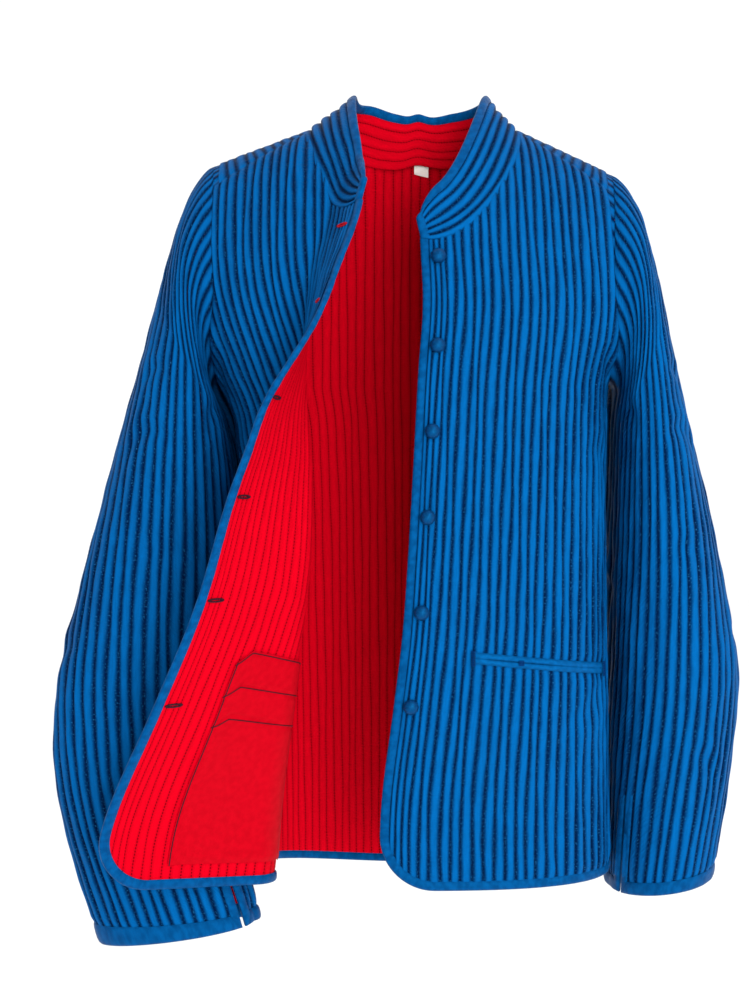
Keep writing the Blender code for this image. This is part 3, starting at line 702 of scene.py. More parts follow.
@dataclass
class SleeveForm:
    """One sleeve, by shares of its width round from its seam and of its length."""

    torso: TorsoForm
    side: Side
    armhole_blend: float = 0.12
    armhole_inset: float = 0.4
    inner_shift: float = 26.0
    skew: float = 1.2
    skew_end: float = 0.24
    seam_deg: float = 25.0
    length: float = 560.0
    vent_length: float = 68.0
    vent_spread: float = 3.5
    twist: float = 0.15
    tuck: float = 9.0
    tuck_rise: float = 0.1
    tuck_spread: float = 0.5
    under_cloth: float = 0.4
    under_ridge: float = 0.6
    left_shift_share: float = 0.58
    ring_points: int = 181

    def __post_init__(self) -> None:
        """Make the curves of the rings."""
        rows = LEFT_RINGS if self.side is Side.LEFT else RIGHT_RINGS
        self.curve = {name: TableCurve(rows, name) for name in Ring._fields[1:]}

    def ring(self, along: float) -> Array:
        """One ring as points from its seam round to its seam."""
        size = {name: float(curve(along)) for name, curve in self.curve.items()}
        outer = np.array((size["outer_x"], size["outer_z"]))
        inner = np.array((size["inner_x"], size["inner_z"]))
        angle = self.ring_angles()
        place = (outer + inner) / 2 - (outer - inner) / 2 * np.cos(angle)[:, None]
        behind = np.maximum(0, -np.sin(angle)) * (1 + np.cos(angle)) / 2
        shift = self.inner_shift * (1.0 if self.side is Side.RIGHT else self.left_shift_share)
        place[:, 0] -= self.side.value * shift * behind
        y = size["middle_y"] - size["half_depth"] * np.sin(angle)
        free = np.stack([place[:, 0], y, place[:, 1]], axis=1)
        blend = float(ease(along / self.armhole_blend))
        return blend * free + (1 - blend) * self.armhole(0.0)

    def ring_angles(self) -> Array:
        """Angles of a ring's points, from the seam round to the seam."""
        return np.linspace(0, 2 * math.pi, self.ring_points) + math.radians(self.seam_deg)

    def armhole(self, tuck: float) -> Array:
        """The line where the sleeve meets the body, or one that lies under the body's cloth.

        Args:
            tuck: how far towards the middle the line lies.

        Returns:
            Points of the line.
        """
        side = self.side.value
        torso = self.torso
        angle = self.ring_angles()
        lowest = torso.underarm + self.armhole_inset
        highest = float(torso.armhole_top(side)) - self.armhole_inset
        z = (lowest + highest) / 2 - (highest - lowest) / 2 * np.cos(angle)
        low = np.minimum(z, torso.armhole_middle)
        climb = np.clip((z - torso.armhole_middle) / (torso.armhole_top(side) - torso.armhole_middle), 0, 1)
        edge = np.abs(torso.armhole_x(low, side))
        x = edge + (torso.armhole_ridge_x - edge) * climb**torso.armhole_round - tuck
        ridge, outer_ridge = torso.ridge(side * x), torso.ridge(side * (x + tuck))
        z = z + (ridge - outer_ridge + self.tuck_rise * tuck) * climb**4
        lower = torso.armhole_half(low, side) - self.armhole_inset
        upper = torso.sheet_depth(side * x, z) - self.under_cloth
        half = np.where(z < torso.armhole_middle, lower + self.tuck_spread * tuck, upper)
        lift = np.minimum(z, ridge - self.under_ridge + self.tuck_rise * tuck)
        return np.stack([side * x, -np.maximum(half, 0) * np.sign(np.sin(angle)), lift], axis=1)

    def tucked(self, around: Array, tuck: float) -> Array:
        """One ring that lies under the body's cloth, next to the armhole."""
        ring = self.armhole(tuck)
        measure = lengths_along(ring)
        return along_line(self.skewed(around + self.twist, 0.0) * measure[-1], measure, ring)

    def skewed(self, round_share: Array, along: float) -> Array:
        """Crowd the channels towards the top of the armhole, so that they run down and not out.

        Args:
            round_share: shares of the ring from its seam.
            along: the share of the sleeve's length.

        Returns:
            The shares at which the channels lie.
        """
        under = 1 - self.seam_deg / 360
        turn = 2 * np.mod(round_share - under, 1.0) - 1
        power = 1 + self.skew * max(0.0, 1 - along / self.skew_end)
        turn = np.sign(turn) * np.abs(turn) ** power
        return np.mod((turn + 1) / 2 + under, 1.0)

    def vent_gap(self, along: float) -> float:
        """Distance between the seam's edges, which part near the cuff."""
        start = 1 - self.vent_length / self.length
        return self.vent_spread * max(0.0, (along - start) / (1 - start))

    def row(self, around: Array, along: float) -> Array:
        """Points of one ring; the channels turn forward as they go down.

        Args:
            around: shares of the width from one seam edge to the other.
            along: the share of the sleeve's length.

        Returns:
            The points.
        """
        ring = self.ring(max(along, 0.0))
        measure = lengths_along(ring)
        gap = self.vent_gap(along)
        share = gap / 2 / measure[-1] + around * (1 - gap / measure[-1]) + self.twist * (1 - along)
        return along_line(self.skewed(share, along) * measure[-1], measure, ring)

    def grid(self, around: Array, alongs: Array) -> Array:
        """Points of the sleeve at the given shares of its width and of its length."""
        return np.array([self.row(around, along) for along in alongs])


@dataclass
class CollarForm:
    """The stand collar, by shares of the way round the neck and of its height."""

    torso: TorsoForm
    flap: FrontForm
    height: float = 46.0
    end_round: float = 0.07
    end_low: float = 0.45
    front_neck: float = -110.0
    neck_points: int = 160
    swung_points: int = 30
    smoothings: int = 8

    def __post_init__(self) -> None:
        """Make the neckline that the collar stands on and the curves of its lean."""
        torso = self.torso
        start = math.asin(float(TableCurve(LEFT_EDGE, "left_of_middle")(self.front_neck)) / torso.neck_half)
        crease = -float(TableCurve(RIGHT_SWING, "crease")(self.flap.flap_neck_crease))
        turn = np.linspace(start, 2 * math.pi - math.asin(crease / torso.neck_half), self.neck_points)
        x = torso.neck_half * np.sin(turn)
        angle = np.radians(torso.neck_angle(x, np.cos(turn) > 0))
        z = torso.shoulder_start + (torso.ridge(x) - torso.shoulder_start) * np.sin(angle)
        neck = np.stack([x, torso.depth(z) * torso.flatness(x, z) * np.cos(angle), z], axis=1)
        turned = float(self.flap.turned_cloth(self.flap.flap_neck_crease))
        at = np.linspace(turned, 0, self.swung_points)[2:]
        swung = self.flap.point(at / self.flap.width(0.0), self.flap.flap_neck(at, turned))
        line = np.concatenate([neck, swung])
        for _ in range(self.smoothings):
            line[1:-1] = (line[:-2] + 2 * line[1:-1] + line[2:]) / 4
        self.line = line
        measure = lengths_along(line)
        self.line_length = measure[-1]
        self.share = measure / measure[-1]
        self.lean = [TableCurve(COLLAR_LEANS, name) for name in ("to_left", "to_back", "rise")]
        self.foot_lift = TableCurve(COLLAR_LEANS, "foot_lift")

    def grid(self, around: Array, up: Array) -> Array:
        """Points of the collar.

        Args:
            around: shares of the way round from the left front edge.
            up: shares of the height at that place; below 0 it tucks under the neckline.

        Returns:
            Points by height and place round the neck.
        """
        foot = along_line(around, self.share, self.line)
        foot[:, 2] += self.foot_lift(around)
        lean = np.stack([curve(around) for curve in self.lean], axis=1)
        end = np.minimum(around, 1 - around) / self.end_round
        rounded = np.sqrt(np.maximum(1 - (1 - np.minimum(end, 1)) ** 2, 0))
        tall = np.maximum(rounded, self.end_low)
        return foot[None] + lean[None] * (up[:, None] * tall[None])[..., None]


class NodeLoom:
    """Lays shader nodes in one tree and joins them."""

    def __init__(self, tree: NodeTree) -> None:
        """Keep the tree."""
        self.tree = tree

    def add(self, kind: str, inputs: dict | None = None, **settings: object) -> Node:
        """Lay one node.

        Args:
            kind: the node's type name.
            inputs: values or sockets for its inputs, by name or number.
            settings: properties of the node.

        Returns:
            The node.
        """
        node = self.tree.nodes.new(kind)
        for name, value in settings.items():
            setattr(node, name, value)
        for key, value in (inputs or {}).items():
            if isinstance(value, NodeSocket):
                self.tree.links.new(value, node.inputs[key])
            else:
                node.inputs[key].default_value = value
        return node

    def link(self, start: NodeSocket, end: NodeSocket) -> None:
        """Join two sockets."""
        self.tree.links.new(start, end)

    def math(self, operation: str, *values: object, clamp: bool = False) -> NodeSocket:
        """One sum on values or sockets."""
        node = self.add("ShaderNodeMath", dict(enumerate(values)), operation=operation, use_clamp=clamp)
        return node.outputs[0]

    def span(self, value: object, low: float, high: float, start: float, end: float) -> NodeSocket:
        """Carry a value softly from one span to another."""
        inputs = {"Value": value, "From Min": low, "From Max": high, "To Min": start, "To Max": end}
        return self.add("ShaderNodeMapRange", inputs, interpolation_type="SMOOTHSTEP").outputs[0]

    def mix(self, factor: object, first: object, second: object, blend: str = "MIX") -> NodeSocket:
        """Mix two colours."""
        node = self.add("ShaderNodeMix", {0: factor, 6: first, 7: second}, data_type="RGBA", blend_type=blend)
        return node.outputs[2]

    def stretch(self, vector: object, across: float, along: float) -> NodeSocket:
        """Scale a cloth's coordinates across and along its threads."""
        inputs = {"Vector": vector, "Scale": (across, along, along)}
        return self.add("ShaderNodeMapping", inputs).outputs[0]

    def noise(
        self, vector: object, across: float, along: float, detail: float, rough: float = 0.5
    ) -> NodeSocket:
        """Soft noise from 0 to 1, so many times across and along the cloth."""
        place = self.stretch(vector, across, along)
        inputs = {"Vector": place, "Scale": 1.0, "Detail": detail, "Roughness": rough}
        return self.add("ShaderNodeTexNoise", inputs).outputs[0]

    def bump(self, height: object, strength: float, distance: float, **under: object) -> NodeSocket:
        """Raise a fine relief, over another one if it is given as Normal."""
        inputs = {"Strength": strength, "Distance": distance, "Height": height, **under}
        return self.add("ShaderNodeBump", inputs).outputs[0]


GroupParts = tuple[NodeTree, NodeLoom, Node, Node]
MaterialParts = tuple[Material, NodeLoom, Node, NodeSocket]


def new_group(name: str, inputs: dict[str, str], outputs: dict[str, str]) -> GroupParts:
    """Start a shader node group.

    Args:
        name: the group's name.
        inputs: socket types by the inputs' names.
        outputs: socket types by the outputs' names.

    Returns:
        The tree, its loom and its input and output nodes.
    """
    tree = bpy.data.node_groups.new(name, "ShaderNodeTree")
    for label, kind in inputs.items():
        tree.interface.new_socket(name=label, in_out="INPUT", socket_type=kind)
    for label, kind in outputs.items():
        tree.interface.new_socket(name=label, in_out="OUTPUT", socket_type=kind)
    loom = NodeLoom(tree)
    return tree, loom, loom.add("NodeGroupInput"), loom.add("NodeGroupOutput")


def padded_channel_group() -> NodeTree:
    """Masks of a channel-quilted cloth, whose map counts channels across and channel widths along.

    Returns:
        A group that gives the painted shade of the stitched valleys, the stitches, the puckers beside them
        and painted satin sheen streaks.
    """
    tree, loom, given, made = new_group(
        "padded_channels",
        {"Cloth": "NodeSocketVector", "Stitches": "NodeSocketFloat"},
        {name: "NodeSocketFloat" for name in ("Valley", "Stitch", "Pucker", "Streak", "Speck")},
    )
    cloth = given.outputs["Cloth"]
    parts = loom.add("ShaderNodeSeparateXYZ", {0: cloth})
    across, along = parts.outputs[0], parts.outputs[1]
    line = loom.math("ROUND", across)
    away = loom.math("ABSOLUTE", loom.math("SUBTRACT", across, line))
    wander = loom.noise(cloth, across=0.9, along=0.35, detail=2.0)
    # Valley mask: painted shade that darkens the cloth softly from each crest down to its stitched line.
    least_reach, more_reach = 0.22, 0.36
    reach = loom.math("MULTIPLY_ADD", wander, more_reach, least_reach)
    valley = loom.math("SUBTRACT", 1.0, loom.span(loom.math("DIVIDE", away, reach), 0.1, 1.0, 0.0, 1.0))
    shift_by_line = 0.37
    shift = loom.math("MULTIPLY", line, shift_by_line)
    count = loom.math("MULTIPLY_ADD", along, given.outputs["Stitches"], shift)
    dash = loom.span(loom.math("PINGPONG", count, 0.5), 0.14, 0.24, 0.0, 1.0)
    stitch = loom.math("MULTIPLY", loom.span(away, 0.035, 0.075, 1.0, 0.0), dash)
    ripple = loom.noise(cloth, across=1.3, along=3.4, detail=2.0)
    fine = loom.noise(cloth, across=5.0, along=9.0, detail=2.0)
    fine_share = 0.35
    near = loom.span(away, 0.0, 0.5, 1.0, 0.3)
    pucker = loom.math("MULTIPLY", loom.math("MULTIPLY_ADD", fine, fine_share, ripple), near)
    # Streak mask: painted satin sheen, bands along the channels where the crest colour turns darker.
    sheen_streak = loom.noise(cloth, across=7.0, along=0.6, detail=3.0, rough=0.6)
    grit = loom.noise(cloth, across=9.0, along=9.0, detail=1.0)
    speck = loom.math("MULTIPLY", loom.span(grit, 0.6, 0.7, 0.0, 1.0), valley)
    masks = {"Valley": valley, "Stitch": stitch, "Pucker": pucker, "Streak": sheen_streak, "Speck": speck}
    for name, socket in masks.items():
        tree.links.new(socket, made.inputs[name])
    return tree


def cloth_grain_group() -> NodeTree:
    """Thread grain and soft mottle of a plain cloth.

    Returns:
        A group that gives a fine grain height and a mottle mask.
    """
    tree, loom, given, made = new_group(
        "cloth_grain",
        {"Cloth": "NodeSocketVector", "Threads": "NodeSocketFloat"},
        {"Grain": "NodeSocketFloat", "Mottle": "NodeSocketFloat"},
    )
    scaled = loom.add("ShaderNodeVectorMath", {0: given.outputs["Cloth"]}, operation="SCALE")
    tree.links.new(given.outputs["Threads"], scaled.inputs["Scale"])
    weft = loom.noise(scaled.outputs[0], across=0.25, along=1.0, detail=1.0)
    warp = loom.noise(scaled.outputs[0], across=1.0, along=0.25, detail=1.0)
    tree.links.new(loom.math("ADD", weft, warp), made.inputs["Grain"])
    mottle = loom.noise(scaled.outputs[0], across=0.06, along=0.06, detail=3.0)
    tree.links.new(mottle, made.inputs["Mottle"])
    return tree


Colour = tuple[float, float, float, float]
BLUE_GLINT: Colour = (0.02, 0.42, 1.0, 1.0)
RED_GLINT: Colour = (1.0, 0.02, 0.06, 1.0)
PALE_GLINT: Colour = (1.0, 1.0, 1.0, 1.0)


@dataclass(frozen=True)
class QuiltedFinish:
    """A cloth quilted in padded channels."""

    name: str
    # crest is the cloth's own colour; valley is painted shade for the stitched valleys.
    crest: Colour
    valley: Colour
    thread: Colour
    speck: Colour
    roughness: float
    gloss: float
    glint: Colour
    pucker: float
    stitches: float = 3.0
    speck_share: float = 0.5
    threads: float = 22.0
    # Painted satin sheen: how dark the streaked bands of the crest are, and how strongly they show.
    streak_shade: float = 0.72
    streak_share: float = 0.55
    rough_spread: float = 0.18
    weave: float = 0.18
    weave_height: float = 0.0002
    pucker_height: float = 0.0022

    def material(self, channels: NodeTree, grain: NodeTree) -> Material:
        """Make the finish.

        Args:
            channels: the group of channel masks.
            grain: the group of thread grain.

        Returns:
            The material.
        """
        material, loom, shader, cloth = start_material(self.name)
        masks = loom.add("ShaderNodeGroup", node_tree=channels)
        threads = loom.add("ShaderNodeGroup", node_tree=grain)
        for group, label, value in ((masks, "Stitches", self.stitches), (threads, "Threads", self.threads)):
            group.inputs[label].default_value = value
            loom.link(cloth, group.inputs["Cloth"])
        # Painted satin sheen: streaks that darken the crest colour in bands.
        sheen_streak = loom.span(masks.outputs["Streak"], 0.3, 0.7, 0.0, 1.0)
        darker = tuple(self.streak_shade * part for part in self.crest[:3]) + (1.0,)
        colour = loom.mix(loom.math("MULTIPLY", sheen_streak, self.streak_share), self.crest, darker)
        # Painted shade: the valley colour darkens the cloth towards the stitched lines.
        colour = loom.mix(masks.outputs["Valley"], colour, self.valley)
        colour = loom.mix(masks.outputs["Stitch"], colour, self.thread)
        specks = loom.math("MULTIPLY", masks.outputs["Speck"], self.speck_share)
        colour = loom.mix(specks, colour, self.speck)
        loom.link(colour, shader.inputs["Base Color"])
        set_sheen(loom, shader, threads.outputs["Mottle"], self)
        weave = loom.bump(threads.outputs["Grain"], self.weave, self.weave_height)
        relief = loom.bump(masks.outputs["Pucker"], self.pucker, self.pucker_height, Normal=weave)
        loom.link(relief, shader.inputs["Normal"])
        return material


@dataclass(frozen=True)
class PlainFinish:
    """A plain cloth or thread."""

    name: str
    colour: Colour
    shade: Colour
    roughness: float
    gloss: float
    glint: Colour
    threads: float = 22.0
    grain: float = 0.3
    rough_spread: float = 0.16
    grain_height: float = 0.0003

    def material(self, grain: NodeTree) -> Material:
        """Make the finish.

        Args:
            grain: the group of thread grain.

        Returns:
            The material.
        """
        material, loom, shader, cloth = start_material(self.name)
        threads = loom.add("ShaderNodeGroup", node_tree=grain)
        threads.inputs["Threads"].default_value = self.threads
        loom.link(cloth, threads.inputs["Cloth"])
        mottle = loom.span(threads.outputs["Mottle"], 0.3, 0.7, 0.0, 1.0)
        loom.link(loom.mix(mottle, self.colour, self.shade), shader.inputs["Base Color"])
        set_sheen(loom, shader, threads.outputs["Mottle"], self)
        relief = loom.bump(threads.outputs["Grain"], self.grain, self.grain_height)
        loom.link(relief, shader.inputs["Normal"])
        return material


def set_sheen(
    loom: NodeLoom,
    shader: Node,
    mottle: NodeSocket,
    finish: QuiltedFinish | PlainFinish,
) -> None:
    """Give a shader its mottled roughness and its tinted gloss.

    Args:
        loom: the loom of the material's nodes.
        shader: the shader.
        mottle: the mask that spreads the roughness.
        finish: the finish that holds the values.
    """
    least = finish.roughness - finish.rough_spread / 2
    rough = loom.math("MULTIPLY_ADD", mottle, finish.rough_spread, least)
    loom.link(rough, shader.inputs["Roughness"])
    shader.inputs["Specular IOR Level"].default_value = finish.gloss
    shader.inputs["Specular Tint"].default_value = finish.glint


def start_material(name: str) -> MaterialParts:
    """Start a material that reads the cloth map.

    Args:
        name: the material's name.

    Returns:
        The material, its loom, its shader and the cloth coordinates.
    """
    material = bpy.data.materials.new(name)
    material.use_nodes = True
    loom = NodeLoom(material.node_tree)
    shader = material.node_tree.nodes["Principled BSDF"]
    cloth = loom.add("ShaderNodeUVMap", uv_map="cloth").outputs[0]
    return material, loom, shader, cloth


PLAIN_FINISHES = (
    PlainFinish(
        "blue_binding", (0.0008, 0.058, 0.19, 1.0), (0.0005, 0.036, 0.125, 1.0), 0.44, 0.08, BLUE_GLINT
    ),
    PlainFinish("blue_welt", (0.0008, 0.074, 0.235, 1.0), (0.0006, 0.05, 0.165, 1.0), 0.44, 0.08, BLUE_GLINT),
    PlainFinish("blue_button", (0.0006, 0.03, 0.11, 1.0), (0.0004, 0.016, 0.06, 1.0), 0.36, 0.5, BLUE_GLINT),
    PlainFinish("pocket_cloth", (0.37, 0.0006, 0.006, 1.0), (0.32, 0.0005, 0.005, 1.0), 0.7, 0.1, RED_GLINT),
    PlainFinish("label_cloth", (0.86, 0.84, 0.78, 1.0), (0.78, 0.76, 0.70, 1.0), 0.6, 0.2, PALE_GLINT),
    PlainFinish("navy_thread", (0.001, 0.02, 0.10, 1.0), (0.001, 0.012, 0.06, 1.0), 0.5, 0.2, BLUE_GLINT),
    PlainFinish("dark_thread", (0.03, 0.004, 0.012, 1.0), (0.015, 0.002, 0.006, 1.0), 0.6, 0.1, PALE_GLINT),
    PlainFinish("red_thread", (0.40, 0.004, 0.010, 1.0), (0.28, 0.003, 0.008, 1.0), 0.6, 0.1, RED_GLINT),
)


class Wardrobe:
    """Every finish of the jacket, made once."""

    def __init__(self) -> None:
        """Make the shared groups and the materials."""
        channels = padded_channel_group()
        grain = cloth_grain_group()
        self.satin = QuiltedFinish(
            "blue_satin",
            crest=(0.0008, 0.079, 0.262, 1.0),
            # painted shade in the satin's stitched valleys
            valley=(0.0003, 0.008, 0.042, 1.0),
            thread=(0.0003, 0.006, 0.03, 1.0),
            speck=(0.02, 0.17, 0.38, 1.0),
            roughness=0.46,
            gloss=0.03,
            glint=BLUE_GLINT,
            pucker=1.0,
            speck_share=0.5,
        ).material(channels, grain)
        self.lining = QuiltedFinish(
            "red_lining",
            crest=(0.50, 0.0005, 0.008, 1.0),
            # painted shade in the lining's stitched valleys
            valley=(0.38, 0.0004, 0.006, 1.0),
            thread=(0.09, 0.0003, 0.002, 1.0),
            speck=(0.45, 0.01, 0.02, 1.0),
            roughness=0.66,
            gloss=0.03,
            glint=RED_GLINT,
            pucker=0.5,
            speck_share=0.2,
        ).material(channels, grain)
        self.plain = {finish.name: finish.material(grain) for finish in PLAIN_FINISHES}


def unit(vectors: Array) -> Array:
    """Vectors of length 1 along the last axis."""
    return vectors / np.maximum(norm(vectors, axis=-1, keepdims=True), TINY)


def grid_normals(points: Array, outward: int) -> Array:
    """Unit normals of a grid of points.

    Args:
        points: points by row and column.
        outward: 1 or -1, to turn the normals to the cloth's right side.

    Returns:
        Normals by row and column.
    """
    steps = np.diff(points, axis=1)
    steps = steps / np.maximum((steps**2).sum(axis=-1, keepdims=True), TINY)
    ahead = np.concatenate([steps, steps[:, -1:]], axis=1)
    behind = np.concatenate([steps[:, :1], steps], axis=1)
    normal = np.cross(ahead + behind, np.gradient(points, axis=0))
    normal = outward * unit(normal)
    still = norm(np.diff(points, axis=0), axis=-1) < STILL
    for row in np.flatnonzero(still.any(axis=1)):
        normal[row + 1] = np.where(still[row][:, None], normal[row], normal[row + 1])
    return normal


def map_pairs(across: Array, along: Array) -> Array:
    """The cloth map's pairs of values for a grid, from its values across and along."""
    return np.stack(np.broadcast_arrays(across, along), axis=-1)


def row_lengths(points: Array) -> Array:
    """Length of each column from its first row to every row."""
    steps = norm(np.diff(points, axis=0), axis=-1)
    return np.concatenate([np.zeros((1, points.shape[1])), np.cumsum(steps, axis=0)])


@dataclass(frozen=True)
class FlatCut:
    """The size a sheet was cut to, in metres and square metres."""

    width: float
    length: float
    area: float

    @classmethod
    def of_grid(cls, points: Array) -> "FlatCut":
        """Measure the unpadded cloth of a grid in millimetres."""
        across = norm(np.diff(points, axis=1), axis=-1)
        across = np.where(across > OPENING_STEPS * np.median(across), 0.0, across)
        down = norm(np.diff(points, axis=0), axis=-1)
        first = points[1:, 1:] - points[:-1, :-1]
        second = points[1:, :-1] - points[:-1, 1:]
        area = norm(np.cross(first, second), axis=-1)
        area = np.where((across[1:] > 0) & (across[:-1] > 0), area, 0.0).sum() / 2
        width = across.sum(axis=1).max() * MILLIMETRE
        length = down.sum(axis=0).max() * MILLIMETRE
        area *= MILLIMETRE**2
        return cls(float(width), float(length), float(min(area, width * length)))

    def folded(self) -> "FlatCut":
        """The cut of a strip that is folded in half along its width, so that half of it shows."""
        return FlatCut(self.width, 2 * self.length, self.area)


def declare(
    cut: FlatCut, node: str
) -> None:
    """Hide the part that a piece of cloth replaces.

    Args:
        cut: its flat size; not used.
        node: the node that it replaces.
    """
    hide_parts(node)


def sheet_object(
    name: str,
    points: Array,
    cloth: Array,
    material: Material,
    outward: int = 1,
    longest: float | None = None,
    ring: bool = False,
) -> Object:
    """Shape a grid into a piece of cloth.

    Args:
        name: the piece's name.
        points: points in millimetres by row and column.
        cloth: the cloth map's two values for each point.
        material: the finish.
        outward: -1 to turn the faces round.
        longest: faces with a longer edge in millimetres span an opening and are left out.
        ring: whether the first and last rows or columns meet and are joined.

    Returns:
        The piece.
    """
    rows, columns = points.shape[:2]
    body = bmesh.new()
    bmesh.ops.create_grid(body, x_segments=columns - 1, y_segments=rows - 1, size=0.5)
    if outward < 0:
        bmesh.ops.reverse_faces(body, faces=body.faces[:])
    mesh = bpy.data.meshes.new(name)
    body.to_mesh(mesh)
    count = len(mesh.vertices)
    flat = np.empty(count * 3)
    mesh.vertices.foreach_get("co", flat)
    flat = flat.reshape(-1, 3)
    i = np.rint((flat[:, 0] - flat[:, 0].min()) / np.ptp(flat[:, 0]) * (columns - 1)).astype(int)
    j = np.rint((flat[:, 1] - flat[:, 1].min()) / np.ptp(flat[:, 1]) * (rows - 1)).astype(int)
    mesh.vertices.foreach_set("co", (points[j, i] * MILLIMETRE).ravel())
    corner = np.empty(len(mesh.loops), dtype=int)
    mesh.loops.foreach_get("vertex_index", corner)
    layer = mesh.uv_layers.new(name="cloth")
    layer.data.foreach_set("uv", cloth[j, i][corner].ravel())
    body.clear()
    body.from_mesh(mesh)
    if longest is not None:
        limit, least = longest * MILLIMETRE, SHORTEST_EDGE * MILLIMETRE
        sizes = {face: [edge.calc_length() for edge in face.edges] for face in body.faces}
        spare = [face for face, size in sizes.items() if max(size) > limit or min(size) < least]
        bmesh.ops.delete(body, geom=spare, context="FACES")
        bmesh.ops.delete(body, geom=[vert for vert in body.verts if not vert.link_faces], context="VERTS")
    if ring:
        bmesh.ops.remove_doubles(body, verts=body.verts[:], dist=JOIN_REACH * MILLIMETRE)
    return placed(body, mesh, material)


def placed(body: bmesh.types.BMesh, mesh: Mesh, material: Material) -> Object:
    """Put a shaped body into the scene as one piece.

    Args:
        body: the body, which is used up.
        mesh: the mesh that takes it, with the piece's name.
        material: the finish.

    Returns:
        The piece.
    """
    body.to_mesh(mesh)
    body.free()
    mesh.materials.append(material)
    mesh.shade_smooth()
    piece = bpy.data.objects.new(mesh.name, mesh)
    bpy.context.collection.objects.link(piece)
    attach(piece, "root")
    LOG.info("%s: %d faces", piece.name, len(mesh.polygons))
    return piece


def joined(name: str, parts: list[Object]) -> Object:
    """Join small parts with one finish into one piece.

    Args:
        name: the piece's name.
        parts: the parts, which are used up.

    Returns:
        The piece.
    """
    body = bmesh.new()
    material = parts[0].data.materials[0]
    for part in parts:
        body.from_mesh(part.data)
        bpy.data.objects.remove(part)
    return placed(body, bpy.data.meshes.new(name), material)


class Crease(NamedTuple):
    """A soft trough in a panel, between two places given as shares across and up."""

    across: float
    up: float
    to_across: float
    to_up: float
    width: float
    depth: float


class Wave(NamedTuple):
    """A small wave along a channel, and its turn from one channel to the next."""

    size: float
    length: float
    turn: float = 0.0


@dataclass(frozen=True)
class Quilt:
    """Padded channels over a panel's columns."""

    channels: int
    per_channel: int
    lift: float
    valley: float
    pitch: float
    seed: int
    widths: tuple[float, float] = (0.86, 1.14)
    narrow_share: float = 0.62
    slow_sway: Wave = Wave(0.5, 41.0, 1.7)
    quick_sway: Wave = Wave(0.3, 15.0, 2.9)
    sway_fade: float = 25.0
    sizes: tuple[float, float] = (0.78, 1.15)
    lean: Wave = Wave(0.35, 33.0)
    long_swell: Wave = Wave(0.13, 19.0)
    short_swell: Wave = Wave(0.1, 6.1)
    crown: float = 2.1
    fullness: float = 0.9
    end_fade: float = 7.0
    end_share: float = 0.2

    def phases(self) -> Array:
        """The count of channels at each column."""
        return np.linspace(0.0, self.channels, self.channels * self.per_channel + 1)

    def across(self, narrow: int = 0) -> Array:
        """Shares of the panel's width at which the columns lie, in uneven channels.

        Args:
            narrow: how many channels at the start are narrower.

        Returns:
            The shares.
        """
        wide = np.random.default_rng(self.seed).uniform(*self.widths, self.channels)
        wide[:narrow] *= self.narrow_share
        ends = np.concatenate([[0.0], np.cumsum(wide)]) / wide.sum()
        return np.interp(self.phases(), np.arange(self.channels + 1), ends)

    def sway(self, points: Array, along: Array) -> Array:
        """Let the stitched lines wander a little to the sides.

        Args:
            points: the panel's points by row and column.
            along: length of each column up to each point.

        Returns:
            The moved points.
        """
        aside = unit(np.gradient(points, axis=1))
        phase = self.phases()
        slow, quick = self.slow_sway, self.quick_sway
        wander = slow.size * np.sin(along / slow.length + slow.turn * phase)
        wander = wander + quick.size * np.sin(along / quick.length + quick.turn * phase + self.seed)
        inside = ease(np.minimum(phase, self.channels - phase))
        inside = inside * ease(np.minimum(along, along[-1] - along) / self.sway_fade)
        return points + aside * (wander * inside)[..., None]

    def heights(self, along: Array) -> Array:
        """How far each point stands above the panel's form.

        Args:
            along: length of each column up to each point.

        Returns:
            Heights by row and column, in millimetres.
        """
        phase = self.phases()
        channel = np.minimum(phase.astype(int), self.channels - 1)
        draw = np.random.default_rng(self.seed + 100)
        first, second, third = draw.uniform(0, 2 * math.pi, (3, self.channels))
        size = draw.uniform(*self.sizes, self.channels)
        tilt = np.exp(self.lean.size * np.sin(along / self.lean.length + third[channel]))
        across = (phase - np.floor(phase)) ** tilt
        puff = (1 - np.abs(2 * across - 1) ** self.crown) ** self.fullness
        swell = size[channel]
        for wave, start in ((self.long_swell, first), (self.short_swell, second)):
            swell = swell + wave.size * np.sin(along / wave.length + start[channel])
        ends = ease(np.minimum(along, along[-1] - along) / self.end_fade)
        return self.valley + self.lift * puff * swell * (self.end_share + (1 - self.end_share) * ends)

    def cloth_map(self, along: Array) -> Array:
        """The cloth map: channels across and channel widths along."""
        return map_pairs(self.phases(), along / self.pitch)


CREASE_BOW = 0.12
CREASE_FADE = 0.7
LIP_PLACE = 1.9
LIP_HEIGHT = 0.45


def crease_depth(points: Array, creases: Sequence[Crease]) -> Array:
    """How deep the creases press each point of a panel in.

    Args:
        points: the panel's points by row and column.
        creases: its creases.

    Returns:
        Depths in millimetres by row and column.
    """
    rows, columns = points.shape[:2]
    width = norm(np.diff(points, axis=1), axis=-1).sum(axis=1).mean()
    length = row_lengths(points)[-1].mean()
    u = np.linspace(0, 1, columns)[None, :] * width
    v = np.linspace(0, 1, rows)[:, None] * length
    depth = np.zeros((rows, columns))
    for crease in creases:
        start = np.array((crease.across * width, crease.up * length))
        run = np.array((crease.to_across * width, crease.to_up * length)) - start
        size = norm(run)
        share = ((u - start[0]) * run[0] + (v - start[1]) * run[1]) / size**2
        away = ((u - start[0]) * run[1] - (v - start[1]) * run[0]) / size
        arch = np.sin(np.pi * np.clip(share, 0, 1))
        away = (away - CREASE_BOW * size * arch) / crease.width
        trough = np.exp(-(away**2))
        lip = np.exp(-((away - LIP_PLACE) ** 2))
        depth += crease.depth * arch**CREASE_FADE * (trough - LIP_HEIGHT * lip)
    return depth


